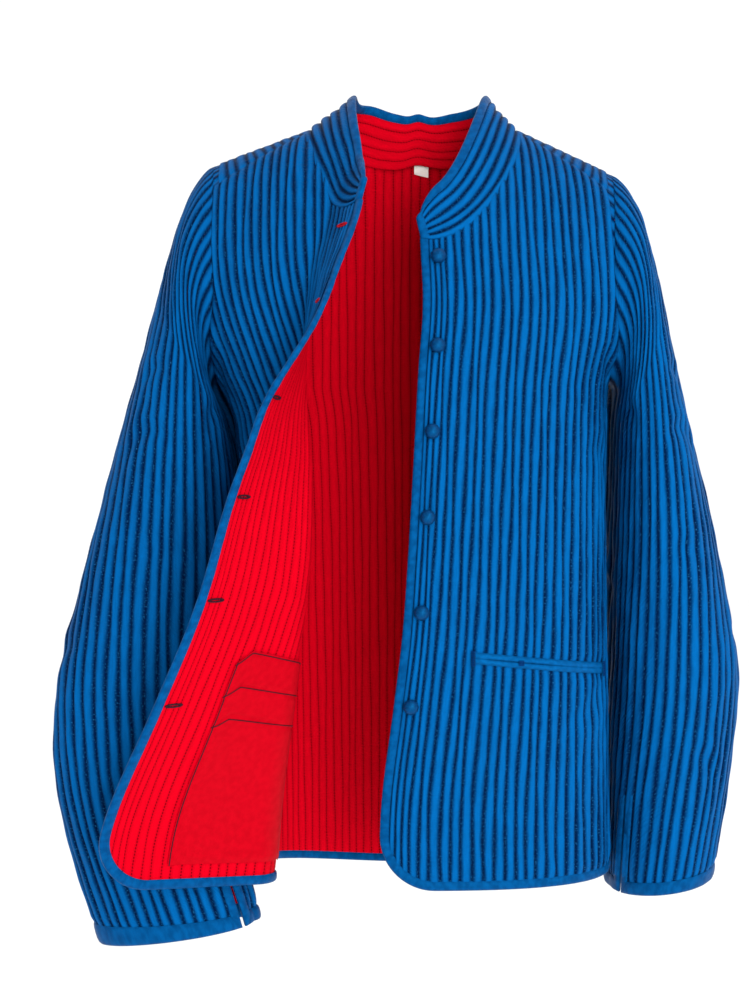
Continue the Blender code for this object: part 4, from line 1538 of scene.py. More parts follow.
def quilted_panel(
    name: str,
    points: Array,
    quilt: Quilt,
    material: Material,
    outward: int,
    face: int = 1,
    creases: Sequence[Crease] = (),
    longest: float | None = None,
    press: Array | float = 1.0,
) -> Object:
    """Make a padded panel from its form.

    Args:
        name: the piece's name.
        points: the form's points by row and column.
        quilt: its channels.
        material: its finish.
        outward: 1 or -1, the way its normals turn.
        face: 1 for the outside, -1 for the lining.
        creases: its soft creases.
        longest: faces with a longer edge are left out.
        press: how much of the padding's height is left at each point.

    Returns:
        The piece.
    """
    normal = grid_normals(points, outward)
    along = row_lengths(points)
    points = quilt.sway(points, along)
    height = face * (quilt.valley + (quilt.heights(along) - quilt.valley) * press)
    height = height - crease_depth(points, creases)
    return sheet_object(
        name, points + normal * height[..., None], quilt.cloth_map(along), material, outward * face, longest
    )


FOLD_FACE = ((-0.07, 0.42), (0.02, 0.74), (0.2, 0.93), (0.45, 1.0), (0.7, 0.95), (0.88, 0.72), (0.98, 0.3))
FOLD_SECTION = FOLD_FACE + tuple((across, -out) for across, out in reversed(FOLD_FACE))


@dataclass(frozen=True)
class BoundEdge:
    """A bias strip folded round a raw edge."""

    half: float = 2.5
    middle: float = 0.5
    pitch: float = 8.0
    long_wave: Wave = Wave(0.05, 5.0)
    short_wave: Wave = Wave(0.04, 2.3)
    map_width: float = 2.4

    def build(
        self, name: str, node: str, rests: str, lines: tuple[Array, Array, Array], wardrobe: Wardrobe
    ) -> None:
        """Fold the strip along an edge.

        Args:
            name: the piece's name.
            node: the node that it replaces.
            rests: the piece that it is folded round; not used.
            lines: points where the strip is sewn down, points of the raw edge, and the cloth's normals.
            wardrobe: the finishes.
        """
        inner, outer, normal = lines
        section = np.array(FOLD_SECTION)
        along = lengths_along(outer)
        wave = 1.0
        for ripple in (self.long_wave, self.short_wave):
            wave = wave + ripple.size * np.sin(along / ripple.length)
        width = outer - inner
        middle = inner + normal * self.middle
        points = middle[:, None] + width[:, None] * section[None, :, :1]
        points = points + normal[:, None] * (section[None, :, 1:] * self.half * wave[:, None, None])
        turn = np.linspace(0, self.map_width, len(section))
        cloth = map_pairs(turn[None, :], along[:, None] / self.pitch)
        facing = np.cross(points[1, 3] - points[0, 3], points[0, 4] - points[0, 3])
        outward = -1 if float(facing @ normal[0]) > 0 else 1
        piece = sheet_object(name, points, cloth, wardrobe.plain["blue_binding"], outward)
        declare(FlatCut.of_grid(points), node)


@dataclass(frozen=True)
class SpotFrame:
    """A place on a panel with the directions across it, up it and out of it."""

    point: Array
    across: Array
    up: Array
    normal: Array

    @classmethod
    def on_front(cls, form: FrontForm, from_edge: float, z: float) -> "SpotFrame":
        """The place on a front at a distance from its edge and a height."""
        reach = np.array([-2, 2])
        width = float(form.width(z))
        around = form.point((from_edge + reach) / width, np.array([z, z]))
        above = form.point(np.array([from_edge, from_edge]) / width, z + reach)
        across = unit(around[1] - around[0])
        normal = unit(form.side.value * np.cross(across, above[1] - above[0]))
        return cls(above.mean(axis=0), across, np.cross(normal, across), normal)


THREAD_SIDES = 8
THREAD_PITCH = 4.0
THREAD_ROUND = 6.3
THREAD_ASIDE = (0.31, -0.72, 0.62)
BUTTONHOLE_STEPS = 64


def thread_tube(line: Array, radius: float | Array, material: Material) -> Object:
    """Make a short round thread along a line.

    Args:
        line: its points in millimetres.
        radius: its radius, or one for each point.
        material: its finish.

    Returns:
        The thread, to be joined with others.
    """
    tangent = unit(np.gradient(line, axis=0))
    first = unit(np.cross(tangent, np.array(THREAD_ASIDE)))
    second = np.cross(tangent, first)
    turn = np.linspace(0, 2 * math.pi, THREAD_SIDES + 1)
    size = np.broadcast_to(np.asarray(radius, dtype=float), len(line))[:, None, None]
    ring = np.cos(turn)[None, :, None] * first[:, None] + np.sin(turn)[None, :, None] * second[:, None]
    points = line[:, None] + size * ring
    along = lengths_along(line)[:, None] / THREAD_PITCH
    cloth = map_pairs(turn[None, :] / THREAD_ROUND, along)
    return sheet_object("thread", points, cloth, material, -1, ring=True)


class Tack(NamedTuple):
    """A row of short stitches side by side, each bent down at its ends."""

    count: int
    step: float
    stand: float
    half: float
    radius: float
    bend: float

    def sew(self, spot: SpotFrame, row: Array, stitch: Array, material: Material) -> list[Object]:
        """Sew the stitches at one place.

        Args:
            spot: the place.
            row: the direction in which the stitches follow each other.
            stitch: the direction of each stitch.
            material: the finish of the thread.

        Returns:
            The threads, to be joined.
        """
        share = np.linspace(-1, 1, 7)[:, None]
        threads = []
        for number in range(self.count):
            aside = (number - (self.count - 1) / 2) * self.step
            foot = spot.point + row * aside + spot.normal * self.stand
            line = foot + self.half * share * stitch - self.bend * share**2 * spot.normal
            threads.append(thread_tube(line, self.radius, material))
        return threads


BAR_TACK = Tack(count=9, step=1.5, stand=4.2, half=1.6, radius=0.62, bend=1.0)
CATCH_STITCH = Tack(count=4, step=1.2, stand=4.6, half=2.2, radius=0.7, bend=0.0)

# Shares of a welt's height, and how far it stands out there in millimetres.
WELT_SECTION = ((0.0, 1.2), (0.12, 2.9), (0.4, 3.7), (0.7, 3.7), (0.93, 3.1), (1.0, 1.6))


@dataclass
class Front:
    """One front: padded cloth, lining, bound edge, pocket and button band."""

    form: FrontForm
    wardrobe: Wardrobe
    channels: int = 28
    pitch: float = 8.2
    lining_valley: float = 0.7
    rows: int = 150
    longest: float = 14.0
    pocket_from_edge: float = 63.0
    pocket_length: float = 134.0
    pocket_top: float = -466.0
    pocket_fall: float = 0.11
    pocket_steps: int = 90
    pressed_least: float = 0.25
    pressed_fade: float = 6.0
    welt_height: float = 5.6
    welt_overlap: float = 1.0
    welt_end: float = 0.55
    welt_end_steps: float = 4.0
    welt_map: float = 17.0
    mouth_parting: float = 0.7
    mouth_lean: float = 0.6
    bag_rows: int = 110
    bag_columns: int = 100
    bag_rise: tuple[float, float] = (0.02, 0.295)
    bag_stand: float = 2.9
    bag_puff: float = 0.9
    bag_edge: float = 5.0
    bag_sag: float = 0.5
    bag_sag_lengths: tuple[float, float] = (19.0, 31.0)
    bag_sag_fade: float = 25.0
    bag_pitch: float = 8.0
    bag_top_seam: float = 1.5
    bag_seams: tuple[tuple[float, float], ...] = ((30.0, 1.6), (56.0, 1.4))
    bag_thread: float = 0.45
    bag_thread_stand: float = 0.25
    catch_from_end: float = 42.0
    narrow_channels: int = 3
    lining_short: float = 6.0
    button_from_edge: float = 15.0
    buttonhole_shift: float = 3.0
    buttonhole_half: tuple[float, float] = (7.6, 1.15)
    buttonhole_thread: float = 0.75
    buttonhole_beads: int = 20
    bead_size: float = 0.16
    buttonhole_heights: tuple[float, ...] = (-103, -172, -252, -332, -415, -499)
    creases: tuple[Crease, ...] = (
        Crease(0.93, 0.60, 0.72, 0.70, 7.0, 2.0),
        Crease(0.88, 0.52, 0.70, 0.57, 9.0, 1.6),
        Crease(0.30, 0.40, 0.52, 0.36, 10.0, 1.2),
        Crease(0.62, 0.20, 0.84, 0.27, 9.0, 1.5),
    )

    def build(self) -> None:
        """Make every piece of the front."""
        word = self.form.side.word
        outward = self.form.side.value
        seed = 11 if self.form.side is Side.LEFT else 12
        quilt = Quilt(self.channels, per_channel=8, lift=2.5, valley=0.5, pitch=self.pitch, seed=seed)
        points = self.form.grid(quilt.across(self.narrow_channels), self.rows)
        cut = FlatCut.of_grid(points)
        folds = {"creases": self.creases, "longest": self.longest}
        press = self.pressed(points)
        cloth = quilted_panel(
            f"front_{word}_cloth", points, quilt, self.wardrobe.satin, outward, press=press, **folds
        )
        declare(cut, f"front_{word}")
        quilt = replace(quilt, per_channel=4, lift=0.8, valley=self.lining_valley)
        points = self.form.grid(quilt.across(self.narrow_channels), self.rows, self.lining_short)
        lining = quilted_panel(
            f"front_{word}_lining_cloth", points, quilt, self.wardrobe.lining, outward, face=-1, **folds
        )
        declare(cut, f"front_{word}_lining")
        self.bind(cloth.name)
        self.pocket(lining.name)
        if self.form.side is Side.RIGHT:
            self.buttonholes()

    def pressed(self, points: Array) -> Array:
        """How much of the padding is left where the pocket is sewn through it."""
        width = float(self.form.width(self.pocket_top))
        at = self.form.shares(np.linspace(0, 1, points.shape[1])) * width - self.pocket_from_edge
        mouth = self.pocket_top - self.pocket_fall * np.clip(at, 0, self.pocket_length) - self.welt_height
        aside = np.maximum(np.maximum(-at, at - self.pocket_length), 0)
        away = np.hypot(points[..., 2] - mouth, aside)
        left = ease((away - self.welt_height) / self.pressed_fade)
        return self.pressed_least + (1 - self.pressed_least) * left

    def bind(self, rests: str) -> None:
        """Fold the binding round the hem, the rounded corner and the front edge."""
        form = self.form
        strip = form.binding_width
        width = float(form.width(form.hem_height))
        radius = form.hem_corner - strip
        hem_steps, corner_steps, edge_steps = 60, 28, 130
        turn = np.linspace(0, math.pi / 2, corner_steps)
        hem = np.linspace(width, form.hem_corner, hem_steps)[:-1]
        at = np.concatenate([hem, form.hem_corner - radius * np.sin(turn)])
        lift = np.concatenate([np.zeros_like(hem), radius * (1 - np.cos(turn))])
        aside = np.concatenate([np.zeros_like(hem), np.sin(turn)])
        z = form.hem_height + form.flap_rise(at) + strip + lift
        inner = form.point(at / width, z)
        down = np.sqrt(np.maximum(1 - aside**2, 0))
        outer = form.point((at - aside * strip) / width, z - down * strip)
        first = strip / width
        top = float(form.tops(np.array([first]))[0])
        climb = np.linspace(z[-1], top, edge_steps)[1:]
        edge_inner = form.point(np.full_like(climb, first), climb)
        edge_outer = form.point(np.zeros_like(climb), climb)
        inner = np.concatenate([inner, edge_inner])
        outer = np.concatenate([outer, edge_outer])
        normal = unit(form.side.value * np.cross(outer - inner, np.gradient(inner, axis=0)))
        word = form.side.word
        name, node = f"front_{word}_edge_strip", f"front_{word}_binding"
        BoundEdge().build(name, node, rests, (inner, outer, normal), self.wardrobe)

    def pocket(self, lining: str) -> None:
        """Lay the two welts on the outside and the pocket bag on the lining."""
        form = self.form
        word = form.side.word
        width = float(form.width(self.pocket_top))
        start = self.pocket_from_edge / width
        end = (self.pocket_from_edge + self.pocket_length) / width
        steps = self.pocket_steps
        shares = np.linspace(start, end, steps)
        section = np.array(WELT_SECTION)
        fall = self.pocket_fall * (shares - start) * width
        parting = self.mouth_parting * np.sin(np.pi * np.linspace(0, 1, steps) ** self.mouth_lean) ** 2
        from_end = np.minimum(np.arange(steps), steps - 1 - np.arange(steps))
        ends = self.welt_end + (1 - self.welt_end) * ease(from_end / self.welt_end_steps)
        lowest = 2 * self.welt_height - self.welt_overlap
        for place, sign, offset in (("upper", 1, 0.0), ("lower", -1, lowest)):
            drop = offset + sign * section[:, 0] * self.welt_height
            z = self.pocket_top - fall[None, :] - drop[:, None]
            z = z + sign * parting[None, :] * (section[:, :1] > 0.5)
            points = form.point(np.broadcast_to(shares, z.shape), z)
            outward = -sign * form.side.value
            points = points + grid_normals(points, outward) * (section[:, 1:] * ends[None, :])[..., None]
            along = np.linspace(0, self.welt_map, steps)
            welt_map = map_pairs(section[:, :1], along[None, :])
            name = f"welt_{place}_{word}"
            piece = sheet_object(f"{name}_cloth", points, welt_map, self.wardrobe.plain["blue_welt"], outward)
            declare(FlatCut.of_grid(points).folded(), name)
        self.bag(shares[[0, -1]], lining)
        self.bar_tacks(shares[[0, -1]], start, width)

    def bag(self, ends: Array, lining: str) -> None:
        """Sew the plain pocket bag to the lining, with its seams."""
        form = self.form
        word = form.side.word
        shares = np.linspace(ends[0], ends[1], self.bag_columns)
        low = form.hems(shares, form.binding_width)
        high = form.tops(shares)
        up = np.linspace(*self.bag_rise, self.bag_rows)[:, None]
        z = low + up * (high - low)
        points = form.point(np.broadcast_to(shares, z.shape), z)
        normal = grid_normals(points, form.side.value)
        along = row_lengths(points)
        from_top = along[-1] - along
        across = np.linspace(0, self.pocket_length, self.bag_columns)[None, :]
        seams = sum(np.exp(-(((drop - from_top) / wide) ** 2)) for drop, wide in self.bag_seams)
        edge = np.minimum(np.minimum(across, self.pocket_length - across), np.minimum(along, from_top))
        puff = self.bag_stand + self.bag_puff * (ease(edge / self.bag_edge) - seams)
        sag = np.sin(across / self.bag_sag_lengths[0] + along / self.bag_sag_lengths[1])
        puff = puff + self.bag_sag * sag * ease(edge / self.bag_sag_fade)
        bag_map = map_pairs(across / self.bag_pitch, along / self.bag_pitch)
        bag = points - normal * puff[..., None]
        name = f"pocket_bag_{word}"
        plain = self.wardrobe.plain
        piece = sheet_object(f"{name}_cloth", bag, bag_map, plain["pocket_cloth"], -form.side.value)
        declare(FlatCut.of_grid(points), name)
        face = bag - normal * self.bag_thread_stand
        drops = [self.bag_top_seam] + [drop for drop, _ in self.bag_seams]
        middle = from_top[:, self.bag_columns // 2]
        lines = [face[int(np.abs(drop - middle).argmin())] for drop in drops] + [face[:, 1], face[:, -2]]
        threads = [thread_tube(line, self.bag_thread, plain["dark_thread"]) for line in lines]
        joined(f"bag_seams_{word}", threads)

    def bar_tacks(self, ends: Array, start: float, width: float) -> None:
        """Sew a bar of thread across each end of the pocket's mouth."""
        parts = []
        for share in ends:
            middle = self.pocket_top - self.pocket_fall * (share - start) * width - self.welt_height
            spot = SpotFrame.on_front(self.form, float(share) * float(self.form.width(middle)), middle)
            parts += BAR_TACK.sew(spot, spot.up, spot.across, self.wardrobe.plain["navy_thread"])
        catch = start + self.catch_from_end / width
        middle = self.pocket_top - self.pocket_fall * self.catch_from_end - self.welt_height
        spot = SpotFrame.on_front(self.form, catch * float(self.form.width(middle)), middle)
        parts += CATCH_STITCH.sew(spot, spot.across, spot.up, self.wardrobe.plain["navy_thread"])
        piece = joined(f"bar_tacks_{self.form.side.word}", parts)

    def buttonholes(self) -> None:
        """Work a buttonhole through the right front for each button, outside and inside."""
        faces = (
            ("outside", 1, 2.9, self.wardrobe.plain["red_thread"]),
            ("inside", -1, 2.0, self.wardrobe.plain["dark_thread"]),
        )
        for word, face, stand, thread in faces:
            parts = []
            for height in self.buttonhole_heights:
                spot = SpotFrame.on_front(self.form, self.button_from_edge + self.buttonhole_shift, height)
                turn = np.linspace(0, 2 * math.pi, BUTTONHOLE_STEPS + 1)
                beads = 1 + self.bead_size * np.cos(self.buttonhole_beads * turn)
                loop = spot.point + face * stand * spot.normal
                loop = loop + self.buttonhole_half[0] * np.cos(turn)[:, None] * spot.across
                loop = loop + self.buttonhole_half[1] * np.sin(turn)[:, None] * spot.up
                parts.append(thread_tube(loop, self.buttonhole_thread * beads, thread))
            joined(f"buttonholes_{word}", parts)


@dataclass
class Back:
    """The back: padded cloth, lining, bound hem and blank label."""

    form: BackForm
    wardrobe: Wardrobe
    channels: int = 52
    pitch: float = 8.2
    longest: float = 16.0
    low_rows: int = 84
    high_rows: int = 110
    cloth_short: float = -2.0
    lining_short: float = 7.0
    shoulder_below: float = 34.0
    shoulder_fade: float = 26.0
    shoulder_press: float = 0.72
    side_lap: tuple[float, float] = (0.3, 1.5)
    hem_lap: float = 1.4
    hem_steps: int = 180
    label_stand: float = 3.2
    label_curl: float = 0.8
    label_across: tuple[float, float] = (0.462, 0.492)
    label_climb: tuple[float, float] = (0.888, 0.932)
    creases: tuple[Crease, ...] = (
        Crease(0.05, 0.50, 0.20, 0.60, 9.0, 1.8),
        Crease(0.95, 0.49, 0.79, 0.61, 10.0, 1.7),
        Crease(0.07, 0.40, 0.24, 0.47, 10.0, 1.7),
        Crease(0.92, 0.36, 0.78, 0.42, 9.0, 1.5),
        Crease(0.30, 0.22, 0.52, 0.27, 12.0, 1.8),
        Crease(0.70, 0.14, 0.55, 0.20, 10.0, 1.4),
        Crease(0.36, 0.78, 0.62, 0.80, 10.0, 1.3),
    )

    def build(self) -> None:
        """Make every piece of the back."""
        form = self.form
        quilt = Quilt(self.channels, per_channel=7, lift=2.5, valley=0.5, pitch=self.pitch, seed=31)
        points = form.grid(quilt.across(), self.low_rows, self.high_rows, self.cloth_short)
        cut = FlatCut.of_grid(points)
        above = points[..., 2] - form.torso.ridge(points[..., 0]) + self.shoulder_below
        press = 1 - self.shoulder_press * ease(above / self.shoulder_fade)
        folds = {"creases": self.creases, "longest": self.longest}
        cloth = quilted_panel(
            "back_cloth", self.lapped(points), quilt, self.wardrobe.satin, outward=1, press=press, **folds
        )
        declare(cut, "back")
        quilt = replace(quilt, per_channel=5, lift=0.8, valley=1.3)
        points = form.grid(quilt.across(), self.low_rows, self.high_rows, self.lining_short)
        lining = quilted_panel(
            "back_lining_cloth", self.lapped(points), quilt, self.wardrobe.lining, outward=1, face=-1, **folds
        )
        declare(cut, "back_lining")
        self.bind()
        self.label()

    def lapped(self, points: Array) -> Array:
        """Carry the side edges a little way under the fronts, to close the side seams."""
        lapped = points.copy()
        for column, side in ((0, 1), (-1, -1)):
            low = points[:, column, 2] < self.form.torso.underarm
            lapped[low, column] += np.array((-self.side_lap[0] * side, -self.side_lap[1], 0.0))
        return lapped

    def bind(self) -> None:
        """Fold the binding round the hem."""
        form = self.form
        across = np.linspace(0.0, 1.0, self.hem_steps)
        hem = form.hems(across)
        inner = form.below(across, hem + form.binding_width)
        outer = form.below(across, hem)
        for line in (inner, outer):
            line[[0, -1], 1] -= self.hem_lap
        normal = unit(np.cross(np.gradient(inner, axis=0), inner - outer))
        lines = (inner, outer, normal)
        BoundEdge().build("back_hem_strip", "back_hem_binding", "back_cloth", lines, self.wardrobe)

    def label(self) -> None:
        """Sew the blank label under the collar."""
        form = self.form
        columns, rows = 24, 20
        across = np.linspace(*self.label_across, columns)
        share = np.linspace(*self.label_climb, rows)[:, None]
        points = form.path(across[None, :], share * form.ends(across))
        curl = self.label_stand + self.label_curl * np.sin(np.pi * np.linspace(0, 1, rows))
        face = points - grid_normals(points, 1) * curl[:, None, None]
        label_map = np.stack(np.meshgrid(np.linspace(0, 1.6, columns), np.linspace(0, 1.3, rows)), axis=-1)
        piece = sheet_object("label_cloth_piece", face, label_map, self.wardrobe.plain["label_cloth"], -1)
        declare(FlatCut.of_grid(points), "label")


@dataclass
class Sleeve:
    """One sleeve: padded cloth with its vent, and the binding round the vent and the cuff."""

    form: SleeveForm
    wardrobe: Wardrobe
    channels: int = 36
    per_channel: int = 6
    rows: int = 150
    binding_width: float = 8.0
    pitch: float = 9.6
    wall: float = 1.6
    tuck_shares: tuple[float, ...] = (1.0, 0.6, 0.25)
    head_least: float = 0.3
    head_fade: float = 55.0
    thin_least: float = 0.1
    thin_length: float = 35.0
    thin_fade: float = 40.0
    vent_steps: int = 26
    cuff_steps: int = 150
    creases: tuple[Crease, ...] = (
        Crease(0.12, 0.30, 0.22, 0.38, 5.0, 2.0),
        Crease(0.08, 0.38, 0.24, 0.47, 6.0, 2.4),
        Crease(0.05, 0.54, 0.18, 0.59, 7.0, 1.8),
        Crease(0.14, 0.85, 0.25, 0.90, 6.0, 2.6),
        Crease(0.30, 0.72, 0.40, 0.77, 7.0, 1.6),
        Crease(0.62, 0.42, 0.80, 0.50, 7.0, 2.4),
        Crease(0.66, 0.52, 0.86, 0.57, 6.0, 2.0),
        Crease(0.58, 0.80, 0.72, 0.76, 8.0, 1.8),
        Crease(0.90, 0.22, 0.98, 0.33, 6.0, 2.2),
    )

    def build(self) -> None:
        """Make every piece of the sleeve."""
        form = self.form
        word = form.side.word
        outward = -form.side.value
        end = 1 - self.binding_width / form.length
        alongs = np.linspace(0.0, end, self.rows)
        seed = 41 + form.side.value
        quilt = Quilt(self.channels, self.per_channel, lift=2.5, valley=0.5, pitch=self.pitch, seed=seed)
        around = quilt.across()
        points = form.grid(around, alongs)
        cut = FlatCut.of_grid(points)
        normal = grid_normals(points, outward)
        along = row_lengths(points)
        points = quilt.sway(points, along)
        head = self.head_least + (1 - self.head_least) * ease(along / self.head_fade)
        height = quilt.heights(along) * head - crease_depth(points, self.creases)
        shell = points + normal * height[..., None]
        tuck = np.array([form.tucked(around, form.tuck * share) for share in self.tuck_shares])
        shell = np.concatenate([tuck, shell])
        cloth_map = quilt.cloth_map(along)
        cloth_map = np.concatenate([np.repeat(cloth_map[:1], len(tuck), axis=0), cloth_map])
        cloth = sheet_object(f"sleeve_{word}_cloth", shell, cloth_map, self.wardrobe.satin, outward)
        cloth.data.materials.append(self.wardrobe.lining)
        wall = cloth.modifiers.new("lined_wall", "SOLIDIFY")
        wall.thickness = self.wall * MILLIMETRE
        wall.offset = -1.0
        wall.material_offset = 1
        wall.use_rim = False
        wall.vertex_group = self.thin_head(cloth)
        declare(cut, f"sleeve_{word}")
        self.bind(end, cloth.name)

    def thin_head(self, cloth: Object) -> str:
        """Weigh the wall thinner where it tucks under the body.

        Args:
            cloth: the sleeve, whose map gives the length from the armhole.

        Returns:
            The name of the group of weights.
        """
        mesh = cloth.data
        corner = np.empty(len(mesh.loops), dtype=int)
        mesh.loops.foreach_get("vertex_index", corner)
        cloth_map = np.empty(2 * len(corner))
        mesh.uv_layers["cloth"].data.foreach_get("uv", cloth_map)
        along = np.zeros(len(mesh.vertices))
        along[corner] = cloth_map[1::2] * self.pitch
        full = ease((along - self.thin_length) / self.thin_fade)
        weight = np.round(self.thin_least + (1 - self.thin_least) * full, 1)
        group = cloth.vertex_groups.new(name="wall")
        for value in np.unique(weight):
            group.add(np.flatnonzero(weight == value).tolist(), float(value), "REPLACE")
        return group.name

    def bind(self, end: float, rests: str) -> None:
        """Fold the binding down one vent edge, round the cuff and up the other edge."""
        form = self.form
        top = 1 - form.vent_length / form.length
        width = float(lengths_along(form.ring(1.0))[-1])
        strip = self.binding_width / width
        climb = np.linspace(top, end, self.vent_steps)
        first = np.array([form.row(np.array([strip, 0.0]), float(along)) for along in climb])
        last = np.array([form.row(np.array([1 - strip, 1.0]), float(along)) for along in climb[::-1]])
        around = np.linspace(strip, 1 - strip, self.cuff_steps)
        below = around.copy()
        below[0], below[-1] = 0.0, 1.0
        inner = np.concatenate([first[:, 0], form.row(around, end), last[:, 0]])
        outer = np.concatenate([first[:, 1], form.row(below, 1.0), last[:, 1]])
        normal = unit(form.side.value * np.cross(np.gradient(inner, axis=0), outer - inner))
        middle = form.ring(1.0).mean(axis=0)
        turned = np.sign(((inner - middle) * normal).sum(axis=1))
        normal *= turned[:, None]
        word = form.side.word
        name, node = f"cuff_{word}_strip", f"cuff_binding_{word}"
        BoundEdge().build(name, node, rests, (inner, outer, normal), self.wardrobe)


@dataclass
class Collar:
    """The stand collar: padded cloth, lining and bound edge."""

    form: CollarForm
    wardrobe: Wardrobe
    channels: int = 5
    binding_width: float = 8.0
    pitch: float = 8.0
    end_inset: float = 0.002
    stations: int = 210
    cloth_foot: float = -0.16
    strip_foot: float = -0.1
    end_steps: int = 12
    strip_steps: int = 240

    def build(self) -> None:
        """Make every piece of the collar."""
        top = 1 - self.binding_width / self.form.height
        around = np.linspace(self.end_inset, 1 - self.end_inset, self.stations)
        for name, face, lift, valley, per_channel, finish, slot in (
            ("collar", 1, 2.4, 0.5, 10, self.wardrobe.satin, "blue_satin"),
            ("collar_lining", -1, 1.0, 0.7, 8, self.wardrobe.lining, "red_lining"),
        ):
            up = np.linspace(self.cloth_foot, top, self.channels * per_channel + 1)
            points = np.swapaxes(self.form.grid(around, up), 0, 1)
            quilt = Quilt(self.channels, per_channel, lift, valley, self.pitch, 51 + face)
            piece = quilted_panel(f"{name}_cloth", points, quilt, finish, -1, face)
            declare(FlatCut.of_grid(points), name)
        strip = self.binding_width / self.form.line_length
        climb = np.linspace(self.strip_foot, top, self.end_steps)
        first, last = (self.form.grid(np.array(pair), climb) for pair in ((strip, 0.0), (1 - strip, 1.0)))
        inner = self.form.grid(np.linspace(strip, 1 - strip, self.strip_steps), np.array([top]))[0]
        outer = self.form.grid(np.linspace(0.0, 1.0, self.strip_steps), np.array([1.0]))[0]
        inner = np.concatenate([first[:, 0], inner[1:-1], last[::-1, 0]])
        outer = np.concatenate([first[:, 1], outer[1:-1], last[::-1, 1]])
        normal = unit(-np.cross(outer - inner, np.gradient(inner, axis=0)))
        lines = (inner, outer, normal)
        BoundEdge().build("collar_strip", "collar_binding", "collar_cloth", lines, self.wardrobe)


# A button's height and reach from its foot to its top, as shares of its dome and its radius.
DOME_RISE = (-0.12, -0.05, 0.05, 0.2, 0.4, 0.6, 0.78, 0.9, 0.97, 1.0)
DOME_REACH = (0.3, 0.55, 0.82, 0.98, 1.0, 0.93, 0.78, 0.55, 0.3, 0.001)


@dataclass
class Buttons:
    """The covered buttons along the left front's edge."""

    form: FrontForm
    wardrobe: Wardrobe
    heights: tuple[float, ...] = (-125, -202, -276, -350, -432, -513)
    from_edge: float = 15.0
    radius: float = 6.6
    dome: float = 7.4
    stand: float = 2.9
    pleats: int = 11
    pleat_size: float = 0.05
    steps: int = 66
    map_turn: float = 1.2

    def build(self) -> None:
        """Make each button with its gathered cover."""
        for number, height in enumerate(self.heights, start=1):
            spot = SpotFrame.on_front(self.form, self.from_edge, height)
            rise, reach = np.array(DOME_RISE), np.array(DOME_REACH)
            turn = np.linspace(0, 2 * math.pi, self.steps + 1)
            pleat = self.pleat_size * np.cos(self.pleats * turn + number)
            out = self.radius * reach[:, None] * (1 + pleat[None, :] * (1 - rise[:, None]))
            points = spot.point + spot.normal * (self.stand + self.dome * rise[:, None, None])
            points = points + (out * np.cos(turn))[..., None] * spot.across
            points = points + (out * np.sin(turn))[..., None] * spot.up
            cloth = map_pairs(turn[None, :] / self.map_turn, rise[:, None])
            finish = self.wardrobe.plain["blue_button"]
            piece = sheet_object(f"button_{number}_cover", points, cloth, finish, 1, ring=True)
            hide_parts(f"button_{number}")


class Lamp(NamedTuple):
    """A soft square lamp, in metres and watts."""

    name: str
    place: tuple[float, float, float]
    size: float
    power: float

    def hang(self, target: tuple[float, float, float]) -> None:
        """Hang the lamp so that it faces a target."""
        data = bpy.data.lights.new(self.name, "AREA")
        data.shape = "SQUARE"
        data.size = self.size
        data.energy = self.power
        lamp = bpy.data.objects.new(self.name, data)
        lamp.location = self.place
        aim = np.array(target) - np.array(self.place)
        turn = math.atan2(-aim[0], aim[1])
        lamp.rotation_euler = (math.pi / 2 + math.atan2(aim[2], math.hypot(aim[0], aim[1])), 0.0, turn)
        bpy.context.scene.collection.objects.link(lamp)


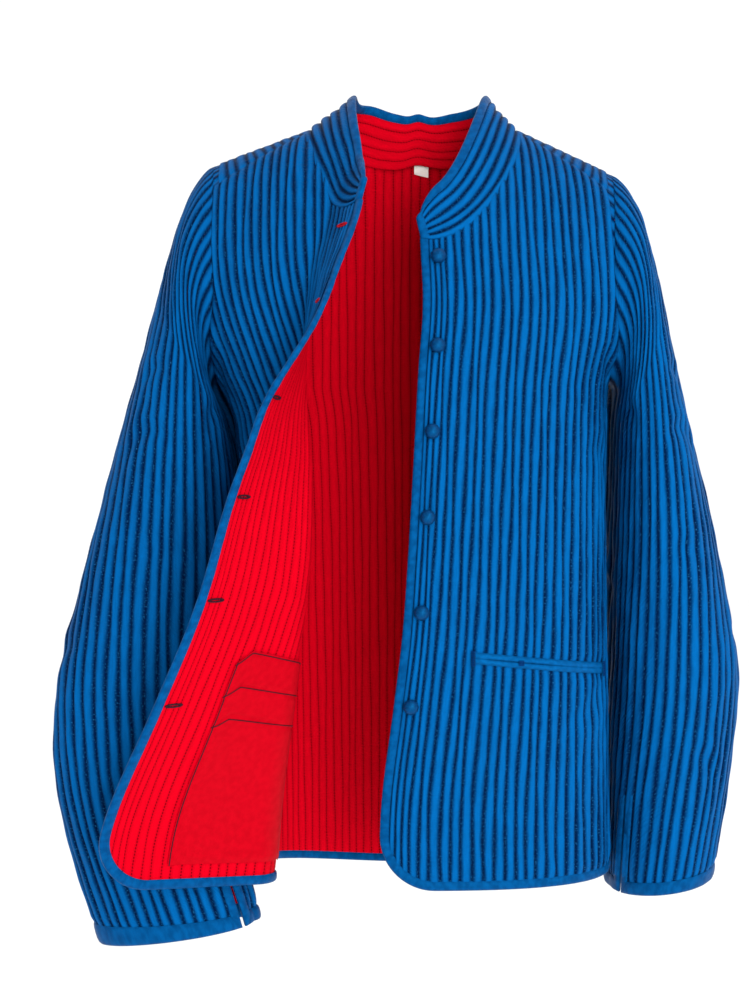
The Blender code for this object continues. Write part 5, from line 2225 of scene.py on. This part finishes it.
@dataclass
class Studio:
    """The pale floor, the soft light and the camera."""

    floor_height: float = -1.25
    floor_half: float = 14.0
    floor_colour: Colour = (0.97, 0.97, 0.97, 1.0)
    floor_roughness: float = 0.9
    sensor: float = 36.0
    target: tuple[float, float, float] = (0.0, 0.0, -0.35)
    lamps: tuple[Lamp, ...] = (
        Lamp("key", (1.1, -2.0, 1.0), 0.9, 22.0),
        Lamp("fill", (0.55, -2.55, -0.35), 1.2, 60.0),
    )
    camera_place: tuple[float, float, float] = (-0.035, -1.3, -0.335)
    lens: float = 50.32
    world: float = 1.06

    def build(self) -> None:
        """Set up the studio."""
        scene = bpy.context.scene
        scene.view_settings.view_transform = "Standard"
        body = bmesh.new()
        bmesh.ops.create_grid(body, x_segments=8, y_segments=8, size=self.floor_half)
        bmesh.ops.translate(body, verts=body.verts[:], vec=(0.0, 0.0, self.floor_height))
        mesh = bpy.data.meshes.new("floor")
        body.to_mesh(mesh)
        body.free()
        floor = bpy.data.objects.new("floor", mesh)
        pale = bpy.data.materials.new("pale_floor")
        pale.use_nodes = True
        shader = pale.node_tree.nodes["Principled BSDF"]
        shader.inputs["Base Color"].default_value = self.floor_colour
        shader.inputs["Roughness"].default_value = self.floor_roughness
        mesh.materials.append(pale)
        scene.collection.objects.link(floor)
        sky = bpy.data.worlds.new("studio")
        sky.use_nodes = True
        back = sky.node_tree.nodes["Background"]
        back.inputs["Color"].default_value = (1.0, 1.0, 1.0, 1.0)
        back.inputs["Strength"].default_value = self.world
        scene.world = sky
        for lamp in self.lamps:
            lamp.hang(self.target)
        camera = bpy.data.objects.new("camera", bpy.data.cameras.new("camera"))
        camera.location = self.camera_place
        camera.rotation_euler = (math.radians(90), 0.0, 0.0)
        camera.data.lens = self.lens
        camera.data.sensor_width = self.sensor
        scene.collection.objects.link(camera)
        scene.camera = camera


def main() -> None:
    """Build the jacket piece by piece, then the studio."""
    logging.basicConfig(level=logging.INFO, format="%(message)s")
    wardrobe = Wardrobe()
    torso = TorsoForm()
    fronts = {side: FrontForm(torso, side) for side in Side}
    Back(BackForm(torso), wardrobe).build()
    for side, form in fronts.items():
        Front(form, wardrobe).build()
        Sleeve(SleeveForm(torso, side), wardrobe).build()
    Collar(CollarForm(torso, fronts[Side.RIGHT]), wardrobe).build()
    Buttons(fronts[Side.LEFT], wardrobe).build()
    Studio().build()


if __name__ == "__main__":
    main()
